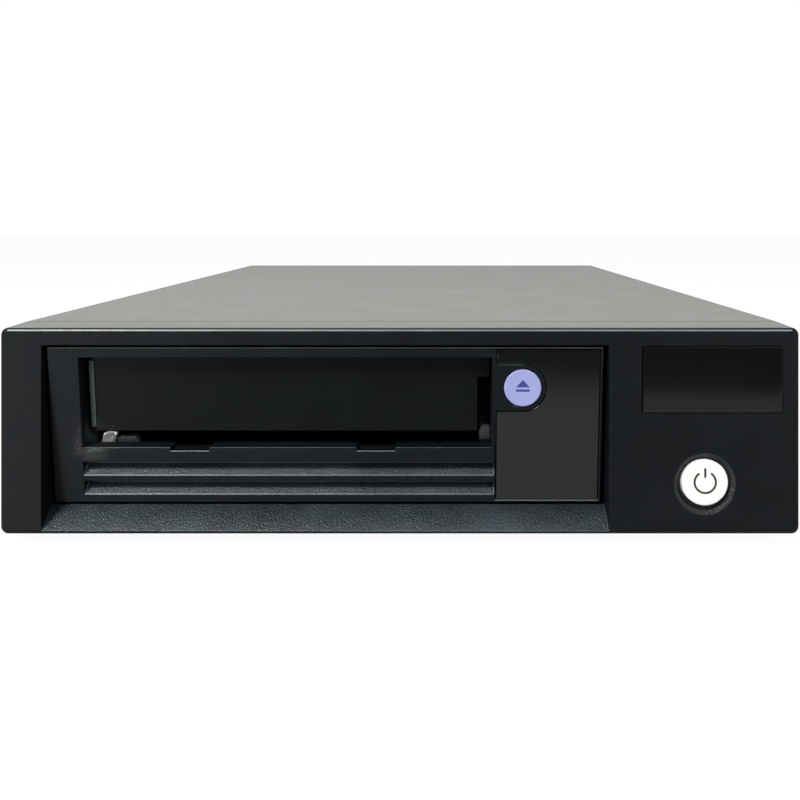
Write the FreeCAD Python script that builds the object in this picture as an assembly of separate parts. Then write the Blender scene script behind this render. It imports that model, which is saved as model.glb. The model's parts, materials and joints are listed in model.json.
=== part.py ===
"""External half-height data tape drive: desktop enclosure with the drive module inside.

Millimetres. X to the right seen from the front, Y to the back, Z up.
Origin: the middle of the box round the whole object, on the surface it stands on.
"""
import FreeCAD, Part
import math
import os
from FreeCAD import Vector

os.makedirs("parts", exist_ok=True)
RIGHT = Vector(1, 0, 0)
BACKWARD = Vector(0, 1, 0)
UP = Vector(0, 0, 1)

# ---- enclosure -------------------------------------------------------------------------------
WIDTH = 213.0
DEPTH = 332.0
HEIGHT = 58.0
FOOT_HEIGHT = 3.0
FOOT_RADIUS = 6.5
FOOT_CHAMFER = 0.6
FOOT_INSET_X = 14.5
FOOT_INSET_FRONT = 34.0
FOOT_INSET_BACK = 24.0
SHEET = 1.0                  # steel of chassis, cover and rear panel
LEAN_DEG = 7.4               # the fascia leans back by this angle
FASCIA_DEPTH = 20.0
FASCIA_WALL = 2.2
FASCIA_TOP_DROP = 0.4        # the fascia's top falls this much towards the front
FASCIA_CORNER_R = 2.0
FASCIA_EDGE_R = 1.2
COVER_SIDE_INSET = 0.5
COVER_BEND_R = 1.5
COVER_SEAM = 0.4             # groove between fascia and cover
COVER_LIP_HEIGHT = 7.0
REAR_PROUD = 1.0             # inlet flange and screw heads stand this far behind the cover's lip
REAR_FLANGE = 8.0
CHASSIS_SIDE_HEIGHT = 26.0
STRIP_UNDER = 1.5            # chassis's front strip to the drive
EAR_SHORT = 2.0              # ears to the cover
EAR_HEAD_R = 2.4
RUN_GAP = 0.3                # clearance between pieces that move past each other
SHAFT_FIT = 0.05             # radial clearance of a shaft in its bearing
THREAD_FIT = 0.05            # radial clearance round a screw
PAST = 1.0                   # cutting tools reach this far past what they cut
NEAR = 0.05                  # for picking edges by where they lie
SLOT_FLAT = 0.01             # flat left between a slot's two rounded ends

FRONT = -DEPTH / 2
BACK = DEPTH / 2
LEAN = math.radians(LEAN_DEG)
FLOOR_TOP = FOOT_HEIGHT + SHEET
FASCIA_BACK = FRONT + FASCIA_DEPTH
COVER_HALF = WIDTH / 2 - COVER_SIDE_INSET
COVER_FRONT = FASCIA_BACK + COVER_SEAM
COVER_BACK = BACK - REAR_PROUD
CHASSIS_HALF = COVER_HALF - SHEET
PANEL_OUT = COVER_BACK - SHEET            # rear panel's outer face
PANEL_IN = PANEL_OUT - SHEET
EAR_BACK = FASCIA_BACK + SHEET

# ---- screws and boards -----------------------------------------------------------------------
SCREW_R = 1.4
SCREW_HEAD_R = 2.7
SMALL_HEAD_R = 2.3
SCREW_HEAD = 1.0
BOSS_R = 3.0
BOARD = 1.6                  # printed circuit board

# ---- side vents and cover screws -------------------------------------------------------------
VENT_ROWS = 2
VENT_COUNT = 14
VENT_PITCH = 5.0
VENT_WIDTH = 2.2
VENT_HEIGHT = 9.0
VENT_LOW = 19.5              # chassis floor to the lower row
VENT_STEP = 13.0
VENT_FROM_FRONT = 48.0
VENT_FROM_BACK = 34.0
LIP_SCREW_INSET = 12.0
LIP_SCREW_MIDDLE = -10.0
VENT_GROUPS = (FRONT + VENT_FROM_FRONT, BACK - VENT_FROM_BACK - VENT_COUNT * VENT_PITCH)
LIP_SCREW_XS = (-CHASSIS_HALF + LIP_SCREW_INSET, LIP_SCREW_MIDDLE, CHASSIS_HALF - LIP_SCREW_INSET)
LIP_SCREW_Z = HEIGHT - SHEET - COVER_LIP_HEIGHT / 2

# ---- cartridge and the drive module's overall sizes ------------------------------------------
CARTRIDGE_WIDTH = 105.4
CARTRIDGE_HEIGHT = 21.5
CARTRIDGE_BOTTOM = 26.4
CARTRIDGE_INSET = 9.2        # drive's left side to the cartridge
LOADER_ROOM = 31.4           # cartridge to the drive's right side: slider, gears and motor
BEZEL_OVERHANG = 1.5         # bezel past the drive's sides
CUT_FROM_LEFT = 11.1         # fascia's left side to its opening
BEZEL_GAP_LEFT = 0.95
BEZEL_GAP_RIGHT = 1.15
BEZEL_SINK = 7.5             # fascia's foot to the bezel's face
BEZEL_DEPTH = 11.5
DRIVE_BOTTOM = 10.0
DRIVE_TOP = 51.2
DRIVE_SHEET = 0.8
TRAY_SETBACK = 17.0          # drive's front to the tray
TRAY_LENGTH = 94.0
REEL_FLANGE_R = 39.0
REEL_ROOM_FRONT = 7.0        # tray to the take-up reel
REEL_ROOM_BACK = 9.0         # take-up reel to the drive's back

DRIVE_WIDTH = CARTRIDGE_INSET + CARTRIDGE_WIDTH + LOADER_ROOM
BEZEL_WIDTH = DRIVE_WIDTH + 2 * BEZEL_OVERHANG
CUT_LEFT = -WIDTH / 2 + CUT_FROM_LEFT
BEZEL_LEFT = CUT_LEFT + BEZEL_GAP_LEFT
BEZEL_RIGHT = BEZEL_LEFT + BEZEL_WIDTH
CUT_RIGHT = BEZEL_RIGHT + BEZEL_GAP_RIGHT
BEZEL_FRONT = FRONT + BEZEL_SINK
DRIVE_X = BEZEL_LEFT + BEZEL_WIDTH / 2
DRIVE_LEFT = DRIVE_X - DRIVE_WIDTH / 2
DRIVE_RIGHT = DRIVE_X + DRIVE_WIDTH / 2
CARTRIDGE_LEFT = DRIVE_LEFT + CARTRIDGE_INSET
CARTRIDGE_RIGHT = CARTRIDGE_LEFT + CARTRIDGE_WIDTH
CARTRIDGE_X = (CARTRIDGE_LEFT + CARTRIDGE_RIGHT) / 2
DRIVE_FRONT = BEZEL_FRONT + BEZEL_DEPTH
TRAY_FRONT = DRIVE_FRONT + TRAY_SETBACK
TRAY_BACK = TRAY_FRONT + TRAY_LENGTH
REEL_Y = TRAY_BACK + REEL_ROOM_FRONT + REEL_FLANGE_R
DRIVE_BACK = REEL_Y + REEL_FLANGE_R + REEL_ROOM_BACK
CAST_LEFT = DRIVE_LEFT + DRIVE_SHEET
CAST_RIGHT = DRIVE_RIGHT - DRIVE_SHEET
CAST_BOTTOM = DRIVE_BOTTOM + DRIVE_SHEET
CAST_TOP = DRIVE_TOP - DRIVE_SHEET

# ---- fascia: opening, badge place and power button -------------------------------------------
CUT_BOTTOM = 4.06
CUT_TOP = 53.0
RECESS_WALL = 1.5
RECESS_DEPTH = 8.5           # the opening's walls reach this far behind the bezel's face
RAMP_TOP = 9.0
RAMP_OVERRUN = 0.3           # the ramp ends this far behind the bezel's face
BADGE_FROM_CUT = 9.0
BADGE_FROM_SIDE = 4.8
BADGE_UP = 32.6
BADGE_HEIGHT = 17.4
BADGE_THICK = 0.8
BADGE_SINK = 0.5
BADGE_GAP = 0.1
BADGE_CORNER_R = 0.4
POWER_LEFT_OF_BADGE = 2.0    # power button's axis to the badge's middle
POWER_UP = 14.0
POWER_R = 6.15
POWER_EDGE_R = 0.4
POWER_PROUD = 0.3
POWER_TRAVEL = 1.5
POWER_GUIDE_LENGTH = 8.0
POWER_FLANGE_R = 7.6
POWER_FLANGE_THICK = 1.2
POWER_STEM_R = 1.8
POWER_ENTER = 1.0            # the stem reaches this far into the switch
WELL_R = 8.25
WELL_FLOOR_GAP = 0.9         # flat ring between the button and the well's slope
WELL_DEPTH = 1.2
WELL_OFFSET_UP = -0.5
GUIDE_OUTER_R = 9.6
SWITCH_SIZE = 10.0
SWITCH_DEPTH = 4.0
SWITCH_FRONT = 13.4          # behind the face
SWITCH_BOARD_LEFT = 12.0     # button's axis to the board's sides
SWITCH_BOARD_RIGHT = 5.0
SWITCH_BOARD_BELOW = 8.0     # button's axis to the board's lower edge
SWITCH_BOARD_ABOVE = 19.0
SWITCH_POST_R = 2.6
SWITCH_POST_OFFSETS = (-8.5, 1.5)
SWITCH_POST_UP = 15.0
SWITCH_SCREW = 6.0
SWITCH_PLUG_WIDTH = 8.0
SWITCH_PLUG_DEPTH = 4.0
SWITCH_PLUG_HEIGHT = 5.0
SWITCH_PLUG_DROP = 3.0
FASCIA_BOSS_INSET = 0.7      # fascia's wall to its bosses
FASCIA_BOSS_LOW = 6.0
FASCIA_BOSS_TOP = 8.0        # the upper bosses' axis under the top
FASCIA_SCREW = 7.0

RECESS_BACK = BEZEL_FRONT + RECESS_DEPTH
RAMP_BACK = BEZEL_FRONT + RAMP_OVERRUN
BADGE_LEFT = CUT_RIGHT + BADGE_FROM_CUT
BADGE_WIDTH = WIDTH / 2 - BADGE_FROM_SIDE - BADGE_LEFT
POWER_X = BADGE_LEFT + BADGE_WIDTH / 2 - POWER_LEFT_OF_BADGE
FASCIA_BOSS_X = WIDTH / 2 - FASCIA_WALL - BOSS_R - FASCIA_BOSS_INSET
FASCIA_BOSSES = [(side * FASCIA_BOSS_X, z) for side in (-1, 1)
                 for z in (FOOT_HEIGHT + FASCIA_BOSS_LOW, HEIGHT - FASCIA_BOSS_TOP)]
FOOT_SPOTS = [(x, y) for x in (-WIDTH / 2 + FOOT_INSET_X, WIDTH / 2 - FOOT_INSET_X)
              for y in (FRONT + FOOT_INSET_FRONT, BACK - FOOT_INSET_BACK)]

# ---- drive module: bezel, door, panel --------------------------------------------------------
BEZEL_BOTTOM = 9.6
BEZEL_TOP = 52.35
BEZEL_WALL = 1.5
BEZEL_FACE = 2.0
BEZEL_RIM_R = 0.3
CASTING_WALL = 2.0
DECK_TOP = 17.0              # upper face of the casting's deck
DECK_THICK = 2.0
SILL_TOP = 20.0              # casting's front sill
SILL_THICK = 3.0
BOARD_Z = 12.2               # underside of the main board
BOARD_MARGIN = 2.0
BOARD_SETBACK = 12.0
LID_FLANGE = 9.0
BRACKET_SHEET = 1.2
BRACKET_FOOT = 7.0
BRACKET_SETBACK = 27.0
BRACKET_SHORT = 18.0         # bracket's end before the drive's back
BRACKET_TOP = 30.0
BRACKET_SCREW_INSET = 20.0
SIDE_SCREW_Z = 24.0
CASTING_BOSS_INSET = 12.0
CASTING_BOSS_FRONT = 23.0
CASTING_BOSS_BACK = 14.0
BOARD_SCREW = 2.6
THREAD_END = 0.8             # a blind hole goes this much deeper than its screw
PLUG_FROM_LEFT = 46.95       # drive's left side to its plug
PLUG_WIDTH = 46.0
PLUG_HEIGHT = 7.0
PLUG_DEPTH = 12.0
PLUG_INSET = 1.5
PLUG_SHY = 0.5
PLUG_CORNER_R = 1.0
PLUG_ROOM = 1.0
CHIP_SPOTS = ((-40.0, 87.0, 22.0), (0.0, 77.0, 16.0), (34.0, 107.0, 14.0), (-30.0, 137.0, 18.0),
              (30.0, 147.0, 16.0))

MOUTH_GAP_LEFT = 2.45        # cartridge to the mouth's side
MOUTH_GAP_RIGHT = 3.1
MOUTH_BOTTOM = 24.95
MOUTH_TOP = 49.6
MOUTH_SILL = 6.5             # depth of the mouth's lower ledge
MOUTH_NOTCH_DEPTH = 0.9
MOUTH_NOTCH_WIDTH = 10.4
MOUTH_NOTCH_OFFSETS = (-26.1, 24.4)
GROOVE_GAP = 0.55            # panel to the grooves' right end
GROOVE_TOPS = (20.9, 15.6)
GROOVE_HEIGHT = 3.7
GROOVE_DEPTH = 3.4
GROOVE_BACK_HEIGHT = 1.0

DOOR_GAP_LEFT = 1.05         # mouth's side to the door
DOOR_GAP_RIGHT = 0.55
DOOR_STEP = 3.2              # below the step the door is this much narrower
DOOR_STEP_Z = 43.65
DOOR_BOTTOM = 28.4
DOOR_SINK = 4.2              # bezel's face to the door's
DOOR_THICK = 1.6
DOOR_SIDE_R = 1.2
DOOR_LOWER_R = 0.5
DOOR_AXIS_Z = 50.0
DOOR_PIN_R = 0.8
DOOR_PIN_LENGTH = 6.0
DOOR_PIN_SHORT = 3.0         # the right pin
SPRING_WIRE = 0.3
SPRING_R = 1.2
SPRING_TURNS = 4

PANEL_FROM_MOUTH = 1.3
PANEL_FRAME_RIGHT = 0.95
PANEL_FRAME_BOTTOM = 0.9
PANEL_FRAME_TOP = 0.7
PANEL_THICK = 1.6
PANEL_GAP = 0.2
KEY_FROM_LEFT = 6.9          # panel's left edge to the button's axis
KEY_DOWN = 11.0
KEY_R = 6.5
EJECT_R = 5.02
EJECT_EDGE_R = 0.35
EJECT_PROUD = 0.5
EJECT_TRAVEL = 0.8
EJECT_FLANGE_R = 6.2
EJECT_FLANGE_THICK = 1.0
EJECT_STEM_R = 1.5
EJECT_WALL = 1.9             # bezel wall behind the panel
EJECT_REACH = 5.3
EJECT_SWITCH_SINK = 6.9
EJECT_SWITCH_HALF = 3.0
EJECT_ENTER = 0.6            # the stem reaches this far into the switch
FRONT_BOARD_SINK = 8.9
FRONT_BOARD_ABOVE = 6.0
RIB_GAP = 0.2                # under the cartridge
RIB_WIDTH = 3.35
RIB_OUTSIDE = 2.75           # cartridge's left side to the rib's foot
RIB_LEAN = 1.95
RIB_EDGE_R = 0.4
POST_WIDTH = 3.0
POST_TOP = 28.8
POST_CHAMFER_X = 0.9
POST_CHAMFER_Z = 2.2
POST_EDGE_R = 0.5
STOP_INSIDE = 2.55           # cartridge's left side to the low stop beside the rib
STOP_WIDTH = 6.7
STOP_LEFT_TOP = 25.0
STOP_RIGHT_TOP = 25.4
STOP_DRAFT_LEFT = 0.6
STOP_DRAFT_RIGHT = 1.0
LED_FROM_LEFT = 11.95
LED_PITCH = 4.0
LED_COUNT = 4
LED_Z = 20.0
LED_R = 1.0

PLUG_X = DRIVE_LEFT + PLUG_FROM_LEFT
CHIPS = [(DRIVE_X + x, DRIVE_FRONT + y, w) for x, y, w in CHIP_SPOTS]
BRACKET_FRONT = DRIVE_FRONT + BRACKET_SETBACK
BRACKET_BACK = DRIVE_BACK - BRACKET_SHORT
BRACKET_SCREW_YS = (BRACKET_FRONT + BRACKET_SCREW_INSET, BRACKET_BACK - BRACKET_SCREW_INSET)
MOUTH_LEFT = CARTRIDGE_LEFT - MOUTH_GAP_LEFT
MOUTH_RIGHT = CARTRIDGE_RIGHT + MOUTH_GAP_RIGHT
MOUTH_NOTCHES = [CARTRIDGE_X + offset for offset in MOUTH_NOTCH_OFFSETS]
DOOR_LEFT = MOUTH_LEFT + DOOR_GAP_LEFT
DOOR_RIGHT = MOUTH_RIGHT - DOOR_GAP_RIGHT
DOOR_STEP_LEFT = DOOR_RIGHT - DOOR_STEP
DOOR_FRONT = BEZEL_FRONT + DOOR_SINK
DOOR_AXIS_Y = DOOR_FRONT + DOOR_THICK
PANEL_LEFT = MOUTH_RIGHT + PANEL_FROM_MOUTH
PANEL_RIGHT = BEZEL_RIGHT - PANEL_FRAME_RIGHT
PANEL_BOTTOM = BEZEL_BOTTOM + PANEL_FRAME_BOTTOM
PANEL_TOP = BEZEL_TOP - PANEL_FRAME_TOP
GROOVE_RIGHT = PANEL_LEFT - GROOVE_GAP
KEY_X = PANEL_LEFT + KEY_FROM_LEFT
KEY_Z = BEZEL_TOP - KEY_DOWN
EJECT_SWITCH_FRONT = BEZEL_FRONT + EJECT_SWITCH_SINK
FRONT_BOARD_Y = BEZEL_FRONT + FRONT_BOARD_SINK
LED_XS = [PANEL_LEFT + LED_FROM_LEFT + i * LED_PITCH for i in range(LED_COUNT)]

# ---- cartridge loader ------------------------------------------------------------------------
TRAY_SIDE_GAP = 0.65
TRAY_FLOOR = 1.0
TRAY_UNDER = 0.4             # tray's floor to the cartridge
TRAY_WALL = 1.0
TRAY_HEIGHT = 20.0
TRAY_DROP = 4.0
TRAY_PIN_R = 1.5
TRAY_PIN_SHY = 0.4           # the pins end this far past the slider's plates
TRAY_PIN_OFFSETS = (26.0, 70.0)
TRAY_PIN_Z = 35.0
CHUCK_HOLE_R = 25.0
SLIDER_TRAVEL = 16.0
SLIDER_PLATE = 1.2
SLIDER_GAP = 2.0             # from tray wall to slider plate
SLIDER_BOTTOM = 22.0
SLIDER_TOP = 39.0
SLIDER_LAG = 0.3             # the slider starts this far behind the tray's front
SLIDER_SHORT = 20.0          # and ends this far before its back
SLIDER_BAR_WIDTH = 6.0
SLIDER_BAR_HEIGHT = 1.6
POST = 2.7
POST_TOP_FRONT = 38.0
POST_TOP_BACK = 26.0
POST_INSET = 4.0
TRAY_LIP = 5.0
RACK_MODULE = 0.8
RACK_HEIGHT = 3.0
RACK_SPARE_TEETH = 3
PINION_TEETH = 20
PINION_SETBACK = 32.0
WHEEL_MODULE = 0.5
WHEEL_TEETH = 40
WHEEL_BOTTOM = 18.6
WHEEL_THICK = 2.6
MOTOR_TEETH = 12
MOTOR_DIRECTION_DEG = 60.0
MOTOR_R = 7.4
MOTOR_EDGE_R = 0.8
MOTOR_LENGTH = 20.0
MOTOR_SHAFT_R = 0.75
MOTOR_SHAFT_INSIDE = 7.0
MOTOR_BORE = 8.0
GEAR_PIN_R = 1.5
GEAR_PIN_SEAT = 1.5          # the pin's shoulder is this much larger
PINION_UNDER = 0.5           # pinion's top to the motor's bracket
BACKLASH = 0.26              # share of the module
TOOTH_TIP = 0.8              # share of the module
TOOTH_ROOT = 1.1
RACK_BITE = 0.1              # the rack's teeth sink this far into the slider's plate
BRACKET = 1.0
BRACKET_Z = 26.0
BRACKET_EDGE = 1.0
BRACKET_LEG_GAP = 2.0

TRAY_INNER_LEFT = CARTRIDGE_LEFT - TRAY_SIDE_GAP
TRAY_INNER_RIGHT = CARTRIDGE_RIGHT + TRAY_SIDE_GAP
TRAY_LEFT = TRAY_INNER_LEFT - TRAY_WALL
TRAY_RIGHT = TRAY_INNER_RIGHT + TRAY_WALL
TRAY_BOTTOM = CARTRIDGE_BOTTOM - TRAY_UNDER - TRAY_FLOOR
TRAY_PIN_YS = [TRAY_FRONT + offset for offset in TRAY_PIN_OFFSETS]
SLIDER_LEFT = TRAY_LEFT - SLIDER_GAP
SLIDER_RIGHT = TRAY_RIGHT + SLIDER_GAP
SLIDER_FRONT = TRAY_FRONT + SLIDER_LAG
SLIDER_BACK = TRAY_BACK - SLIDER_SHORT
RACK_ROOT = SLIDER_RIGHT + SLIDER_PLATE
RACK_PITCH_X = RACK_ROOT + TOOTH_ROOT * RACK_MODULE
PINION_R = RACK_MODULE * PINION_TEETH / 2
PINION_X = RACK_PITCH_X + PINION_R
PINION_Y = TRAY_FRONT + PINION_SETBACK
WHEEL_R = WHEEL_MODULE * WHEEL_TEETH / 2
MOTOR_PINION_R = WHEEL_MODULE * MOTOR_TEETH / 2
MOTOR_ANGLE = math.radians(MOTOR_DIRECTION_DEG)
MOTOR_X = PINION_X + (WHEEL_R + MOTOR_PINION_R) * math.cos(MOTOR_ANGLE)
MOTOR_Y = PINION_Y + (WHEEL_R + MOTOR_PINION_R) * math.sin(MOTOR_ANGLE)

# ---- tape path -------------------------------------------------------------------------------
CHUCK_SETBACK = 44.0
CHUCK_R = 20.0
CHUCK_HUB_R = 9.0
CHUCK_TOP = 24.6
CHUCK_TEETH = 12
CHUCK_TOOTH_WIDTH = 1.4
CHUCK_TOOTH_LENGTH = 2.3
CHUCK_TOOTH_INSET = 0.3
CHUCK_TOOTH_TALL = 1.2
MAGNET_UNDER = 0.6
CHUCK_DISC = 1.8
SPINDLE_R = 2.5
STATOR_R = 18.0
STATOR_TOP = 19.5
STATOR_PLATE = 0.8
STATOR_COILS = 9
STATOR_HUB = 3.0
COIL_START = 7.0
COIL_END = 1.5
COIL_WIDTH = 4.0
REEL_FROM_LEFT = 58.95       # drive's left side to the reel's axis
REEL_HUB_R = 21.0
REEL_HUB_WALL = 3.0
REEL_POCKET = 8.0
REEL_SLOT = 8.0
REEL_WINDOW_R = 5.5
REEL_WINDOWS = 3
REEL_FLANGE = 1.0
TAPE_WIDTH = 12.65
TAPE_GAP = 0.35              # flange to tape edge
ROLLER_R = 5.0
ROLLER_FLANGE_R = 6.2
ROLLER_FLANGE = 0.8
ROLLER_PIN_R = 1.5
ROLLER_OFFSETS = ((-11.1, -29.0), (-2.6, -19.5), (-2.6, 19.5), (-14.6, 35.0))   # from the head's face
HEAD_AHEAD = 5.0             # head's middle before the reel's
HEAD_FROM_RIGHT = 14.45     # drive's right side to the face that the tape runs over
HEAD_LENGTH = 19.0
HEAD_THICK = 3.6
HEAD_TALL = 14.0
HEAD_LAND_R = 3.0
HEAD_LAND_PROUD = 1.2
HEAD_TRAVEL = 3.0            # each way from the middle
CARRIAGE_THICK = 5.6
CARRIAGE_TALL = 15.0
CARRIAGE_OVER = 1.0          # carriage past the head's ends
GUIDE_POST_R = 1.4
LEAD_SCREW_R = 1.1
HEAD_MOTOR_R = 4.2
HEAD_MOTOR_HEIGHT = 5.0
GUIDE_POST_SPREAD = 8.0
GUIDE_POST_TOP = 47.0
BRIDGE_OVER = 3.0
BRIDGE_THICK = 1.2
TRACK_Z = 43.0
TRACK_THICK = 1.0
TRACK_WIDTH = 4.0
TRACK_START_OFFSET = (-21.1, -36.0)
BLOCK_HALF = 2.5
BLOCK_BACK = 3.0
BLOCK_BITE = 1.2
BLOCK_WALL = 1.5

CHUCK_Y = TRAY_FRONT + CHUCK_SETBACK
REEL_X = DRIVE_LEFT + REEL_FROM_LEFT
HEAD_X = DRIVE_RIGHT - HEAD_FROM_RIGHT
HEAD_Y = REEL_Y - HEAD_AHEAD
ROLLERS = [(HEAD_X + x, HEAD_Y + y) for x, y in ROLLER_OFFSETS]
TRACK_START = (HEAD_X + TRACK_START_OFFSET[0], HEAD_Y + TRACK_START_OFFSET[1])
TAPE_Z = CARTRIDGE_BOTTOM - TRAY_DROP + CARTRIDGE_HEIGHT / 2
REEL_LOW = TAPE_Z - TAPE_WIDTH / 2 - TAPE_GAP
REEL_HIGH = TAPE_Z + TAPE_WIDTH / 2 + TAPE_GAP
HEAD_BACK = HEAD_X + HEAD_THICK
CARRIAGE_BACK = HEAD_BACK + CARRIAGE_THICK

# ---- power supply ----------------------------------------------------------------------------
PSU_GAP = 0.75               # drive's bracket to the supply
PSU_SIDE_GAP = 2.0
PSU_LENGTH = 152.0
PSU_HEIGHT = 36.0
PSU_BOARD_LIFT = 4.0
PSU_BOARD_GAP = 0.5
PSU_POST_R = 2.5
PSU_MARGIN = 5.0
PSU_SCREW = 3.0
PSU_AIR_COUNT = 11
PSU_AIR_WIDTH = 3.0
PSU_AIR_FIRST = 12.0
PSU_AIR_LAST = 28.0
PSU_AIR_LOW = 12.0           # over the board
PSU_AIR_TOP = 4.0            # under the frame's top
POWER_PLUG_BEHIND = 30.0     # drive's back to the middle of the supply's plug for it
POWER_PLUG_FROM_BACK = 8.0
POWER_PLUG_HALF = 5.0
POWER_PLUG_TALL = 9.0
BACK_PLUG_TALL = 8.0
BACK_PLUG_REACH = 1.5        # plugs at the board's ends stand out past the frame
FAN_PLUG_AT = 0.3            # share of the supply's width from its left
FAN_PLUG_HALF = 2.5
MAINS_PLUG_AT = 0.72
MAINS_PLUG_HALF = 5.0
FRONT_PLUG_AT = 0.65
FRONT_PLUG_HALF = 4.0
PLUG_LENGTH = 9.0
CAN_EDGE_R = 0.8
CAN_SPOTS = ((19.0, 9.0, 26.0), (35.5, 6.0, 22.0), (117.5, 5.0, 20.0), (129.0, 5.0, 20.0))
CORE_FROM_FRONT = 58.0
CORE_HALF_WIDTH = 9.0
CORE_HALF_LENGTH = 13.0
CORE_TALL = 22.0
CORE_LEG = 4.0
COIL_GAP = 0.1
COIL_OVER = 2.0
COIL_EDGE_R = 2.0
CHOKE_FROM_FRONT = 83.0
CHOKE_R = 9.0
CHOKE_BORE_R = 4.0
CHOKE_TALL = 11.0
SINK_START = 93.5
SINK_END = 111.5
SINK_INSET = 2.5             # frame's inside to the heat sinks
SINK_THICK = 1.8
SINK_TALL = 24.0
SINK_LEG = 6.0
SINK_FIN = 1.2
SINK_FIN_REACH = 5.0
SINK_FIN_PITCH = 4.5

PSU_LEFT = CAST_RIGHT + BRACKET_FOOT + PSU_GAP
PSU_RIGHT = CHASSIS_HALF - PSU_SIDE_GAP
PSU_WIDTH = PSU_RIGHT - PSU_LEFT
POWER_PLUG_Y = DRIVE_BACK + POWER_PLUG_BEHIND
PSU_BACK = POWER_PLUG_Y + POWER_PLUG_FROM_BACK
PSU_FRONT = PSU_BACK - PSU_LENGTH
PSU_FLOOR = FLOOR_TOP + SHEET
PSU_DECK = PSU_FLOOR + PSU_BOARD_LIFT + BOARD
FAN_PLUG_X = PSU_LEFT + FAN_PLUG_AT * PSU_WIDTH
MAINS_PLUG_X = PSU_LEFT + MAINS_PLUG_AT * PSU_WIDTH
FRONT_PLUG_X = PSU_LEFT + FRONT_PLUG_AT * PSU_WIDTH
PSU_X = (PSU_LEFT + PSU_RIGHT) / 2

# ---- rear fittings ---------------------------------------------------------------------------
INLET_FROM_SIDE = 25.0
INLET_Z = 31.0
INLET_WIDTH = 27.4
INLET_HEIGHT = 20.0
INLET_DEPTH = 22.0
INLET_FLANGE = 2.4
INLET_CORNER_R = 1.5
INLET_CAVITY_W = 24.6
INLET_CAVITY_H = 16.4
INLET_CAVITY_D = 17.0
INLET_SLANT = 4.5
PIN_WIDTH = 2.0
PIN_HEIGHT = 4.0
PIN_SPREAD = 7.0
PIN_STAGGER = 2.0
PIN_SHY = 3.0                # the pins end this far inside the mouth
PIN_TAIL = 6.0
FAN_FROM_INLET = 50.0
FAN_SIZE = 40.0
FAN_DEPTH = 20.0
FAN_WALL = 1.0
FAN_WAIST = 0.6
FAN_RIM = 3.0
FAN_CORNER_R = 2.5
FAN_HUB_R = 10.5
FAN_HUB_WALL = 1.2
FAN_HUB_FACE = 1.5
FAN_SHAFT_R = 1.0
FAN_BEARING_R = 3.0
FAN_BEARING = 8.0
FAN_SHAFT_INSIDE = 7.0
FAN_STRUT = 2.4
FAN_STRUT_DEPTH = 3.0
FAN_STRUT_SHY = 0.7
FAN_BLADES = 7
FAN_BLADE = 1.0
FAN_BLADE_SHY = 0.8
FAN_ROTOR_SETBACK = 1.0
FAN_BLADE_TURN_DEG = 30.0
FAN_BORE_GAP = 0.8
FAN_HOLE_PITCH = 32.0
GRILLE_RINGS = 4
GRILLE_PITCH = 4.2
GRILLE_HOLE_R = 1.6
FAN_SCREW = 8.0
LIP_SCREW = 4.0
REAR_SLOT_INSET = 9.0
REAR_SLOT_PITCH = 6.0
REAR_SLOT_WIDTH = 2.6
REAR_SLOT_CLEAR = 12.0       # before the fan
REAR_SLOT_Z = 36.0
REAR_SLOT_HEIGHT = 11.0
PORT_INSETS = (33.0, 73.0)
PORT_Z = 22.0
PORT_WIDTH = 27.0
PORT_HEIGHT = 11.0
PORT_DEPTH = 36.0
PORT_SHELL = 1.0
PORT_POST = 8.0
PORT_BLOCK = 8.0
PORT_TONGUE_SIDE = 4.0
PORT_TONGUE_THICK = 1.4
PORT_TONGUE_BACK = 7.0       # the tongue starts this far inside the mouth

INLET_X = CHASSIS_HALF - INLET_FROM_SIDE
FAN_X = INLET_X - FAN_FROM_INLET
FAN_Z = (FLOOR_TOP + HEIGHT - 2 * SHEET) / 2
PORT_XS = [inset - CHASSIS_HALF for inset in PORT_INSETS]
REAR_SLOT_START = REAR_SLOT_INSET - CHASSIS_HALF
REAR_SLOT_COUNT = int((FAN_X - FAN_SIZE / 2 - REAR_SLOT_CLEAR - REAR_SLOT_START) / REAR_SLOT_PITCH)
REAR_SLOT_XS = [REAR_SLOT_START + REAR_SLOT_PITCH * i for i in range(REAR_SLOT_COUNT)]

# ---- cables ----------------------------------------------------------------------------------
CABLE_R = 2.4
POWER_CABLE_R = 1.6
WIRE_R = 1.1
BEND_DIAMETERS = 5.0
DATA_CABLE_OFFSETS = (-16.0, -4.0)
POWER_CABLE_OFFSET = 18.0
CABLE_RUN = 12.0             # straight before a cable's first bend
DATA_CABLE_END = 15.0        # and after its last
POWER_CABLE_END = 15.0
POWER_CABLE_CLIMB = 40.0
WIRE_RUN = 11.0
WIRE_END = 12.0
FAN_WIRE_END = 12.5
FAN_WIRE_UP = 2.0
FAN_WIRE_SIDE = 12.0
SWITCH_WIRE_RUN = 14.0
SWITCH_WIRE_END = 16.0
WIRE_PITCH = 4.0


# ---- building blocks -------------------------------------------------------------------------
def box(x0, x1, y0, y1, z0, z1):
    return Part.makeBox(x1 - x0, y1 - y0, z1 - z0, Vector(x0, y0, z0))


def rod(x, y, z, radius, length, direction=UP):
    return Part.makeCylinder(radius, length, Vector(x, y, z), direction)


def ring(x, y, z, outer, inner, length, direction=UP):
    return rod(x, y, z, outer, length, direction).cut(rod(x, y, z, inner, length, direction))


def outline(points, along):
    """A closed polygon given as points, pushed out along a vector."""
    return Part.Face(Part.makePolygon(list(points) + [points[0]])).extrude(along)


def bar_x(points, x0, x1):
    """Section given as (y, z) points, from x0 to x1."""
    return outline([Vector(x0, y, z) for y, z in points], Vector(x1 - x0, 0, 0))


def plate_y(points, y0, y1):
    """Outline given as (x, z) points, from y0 to y1."""
    return outline([Vector(x, y0, z) for x, z in points], Vector(0, y1 - y0, 0))


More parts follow.
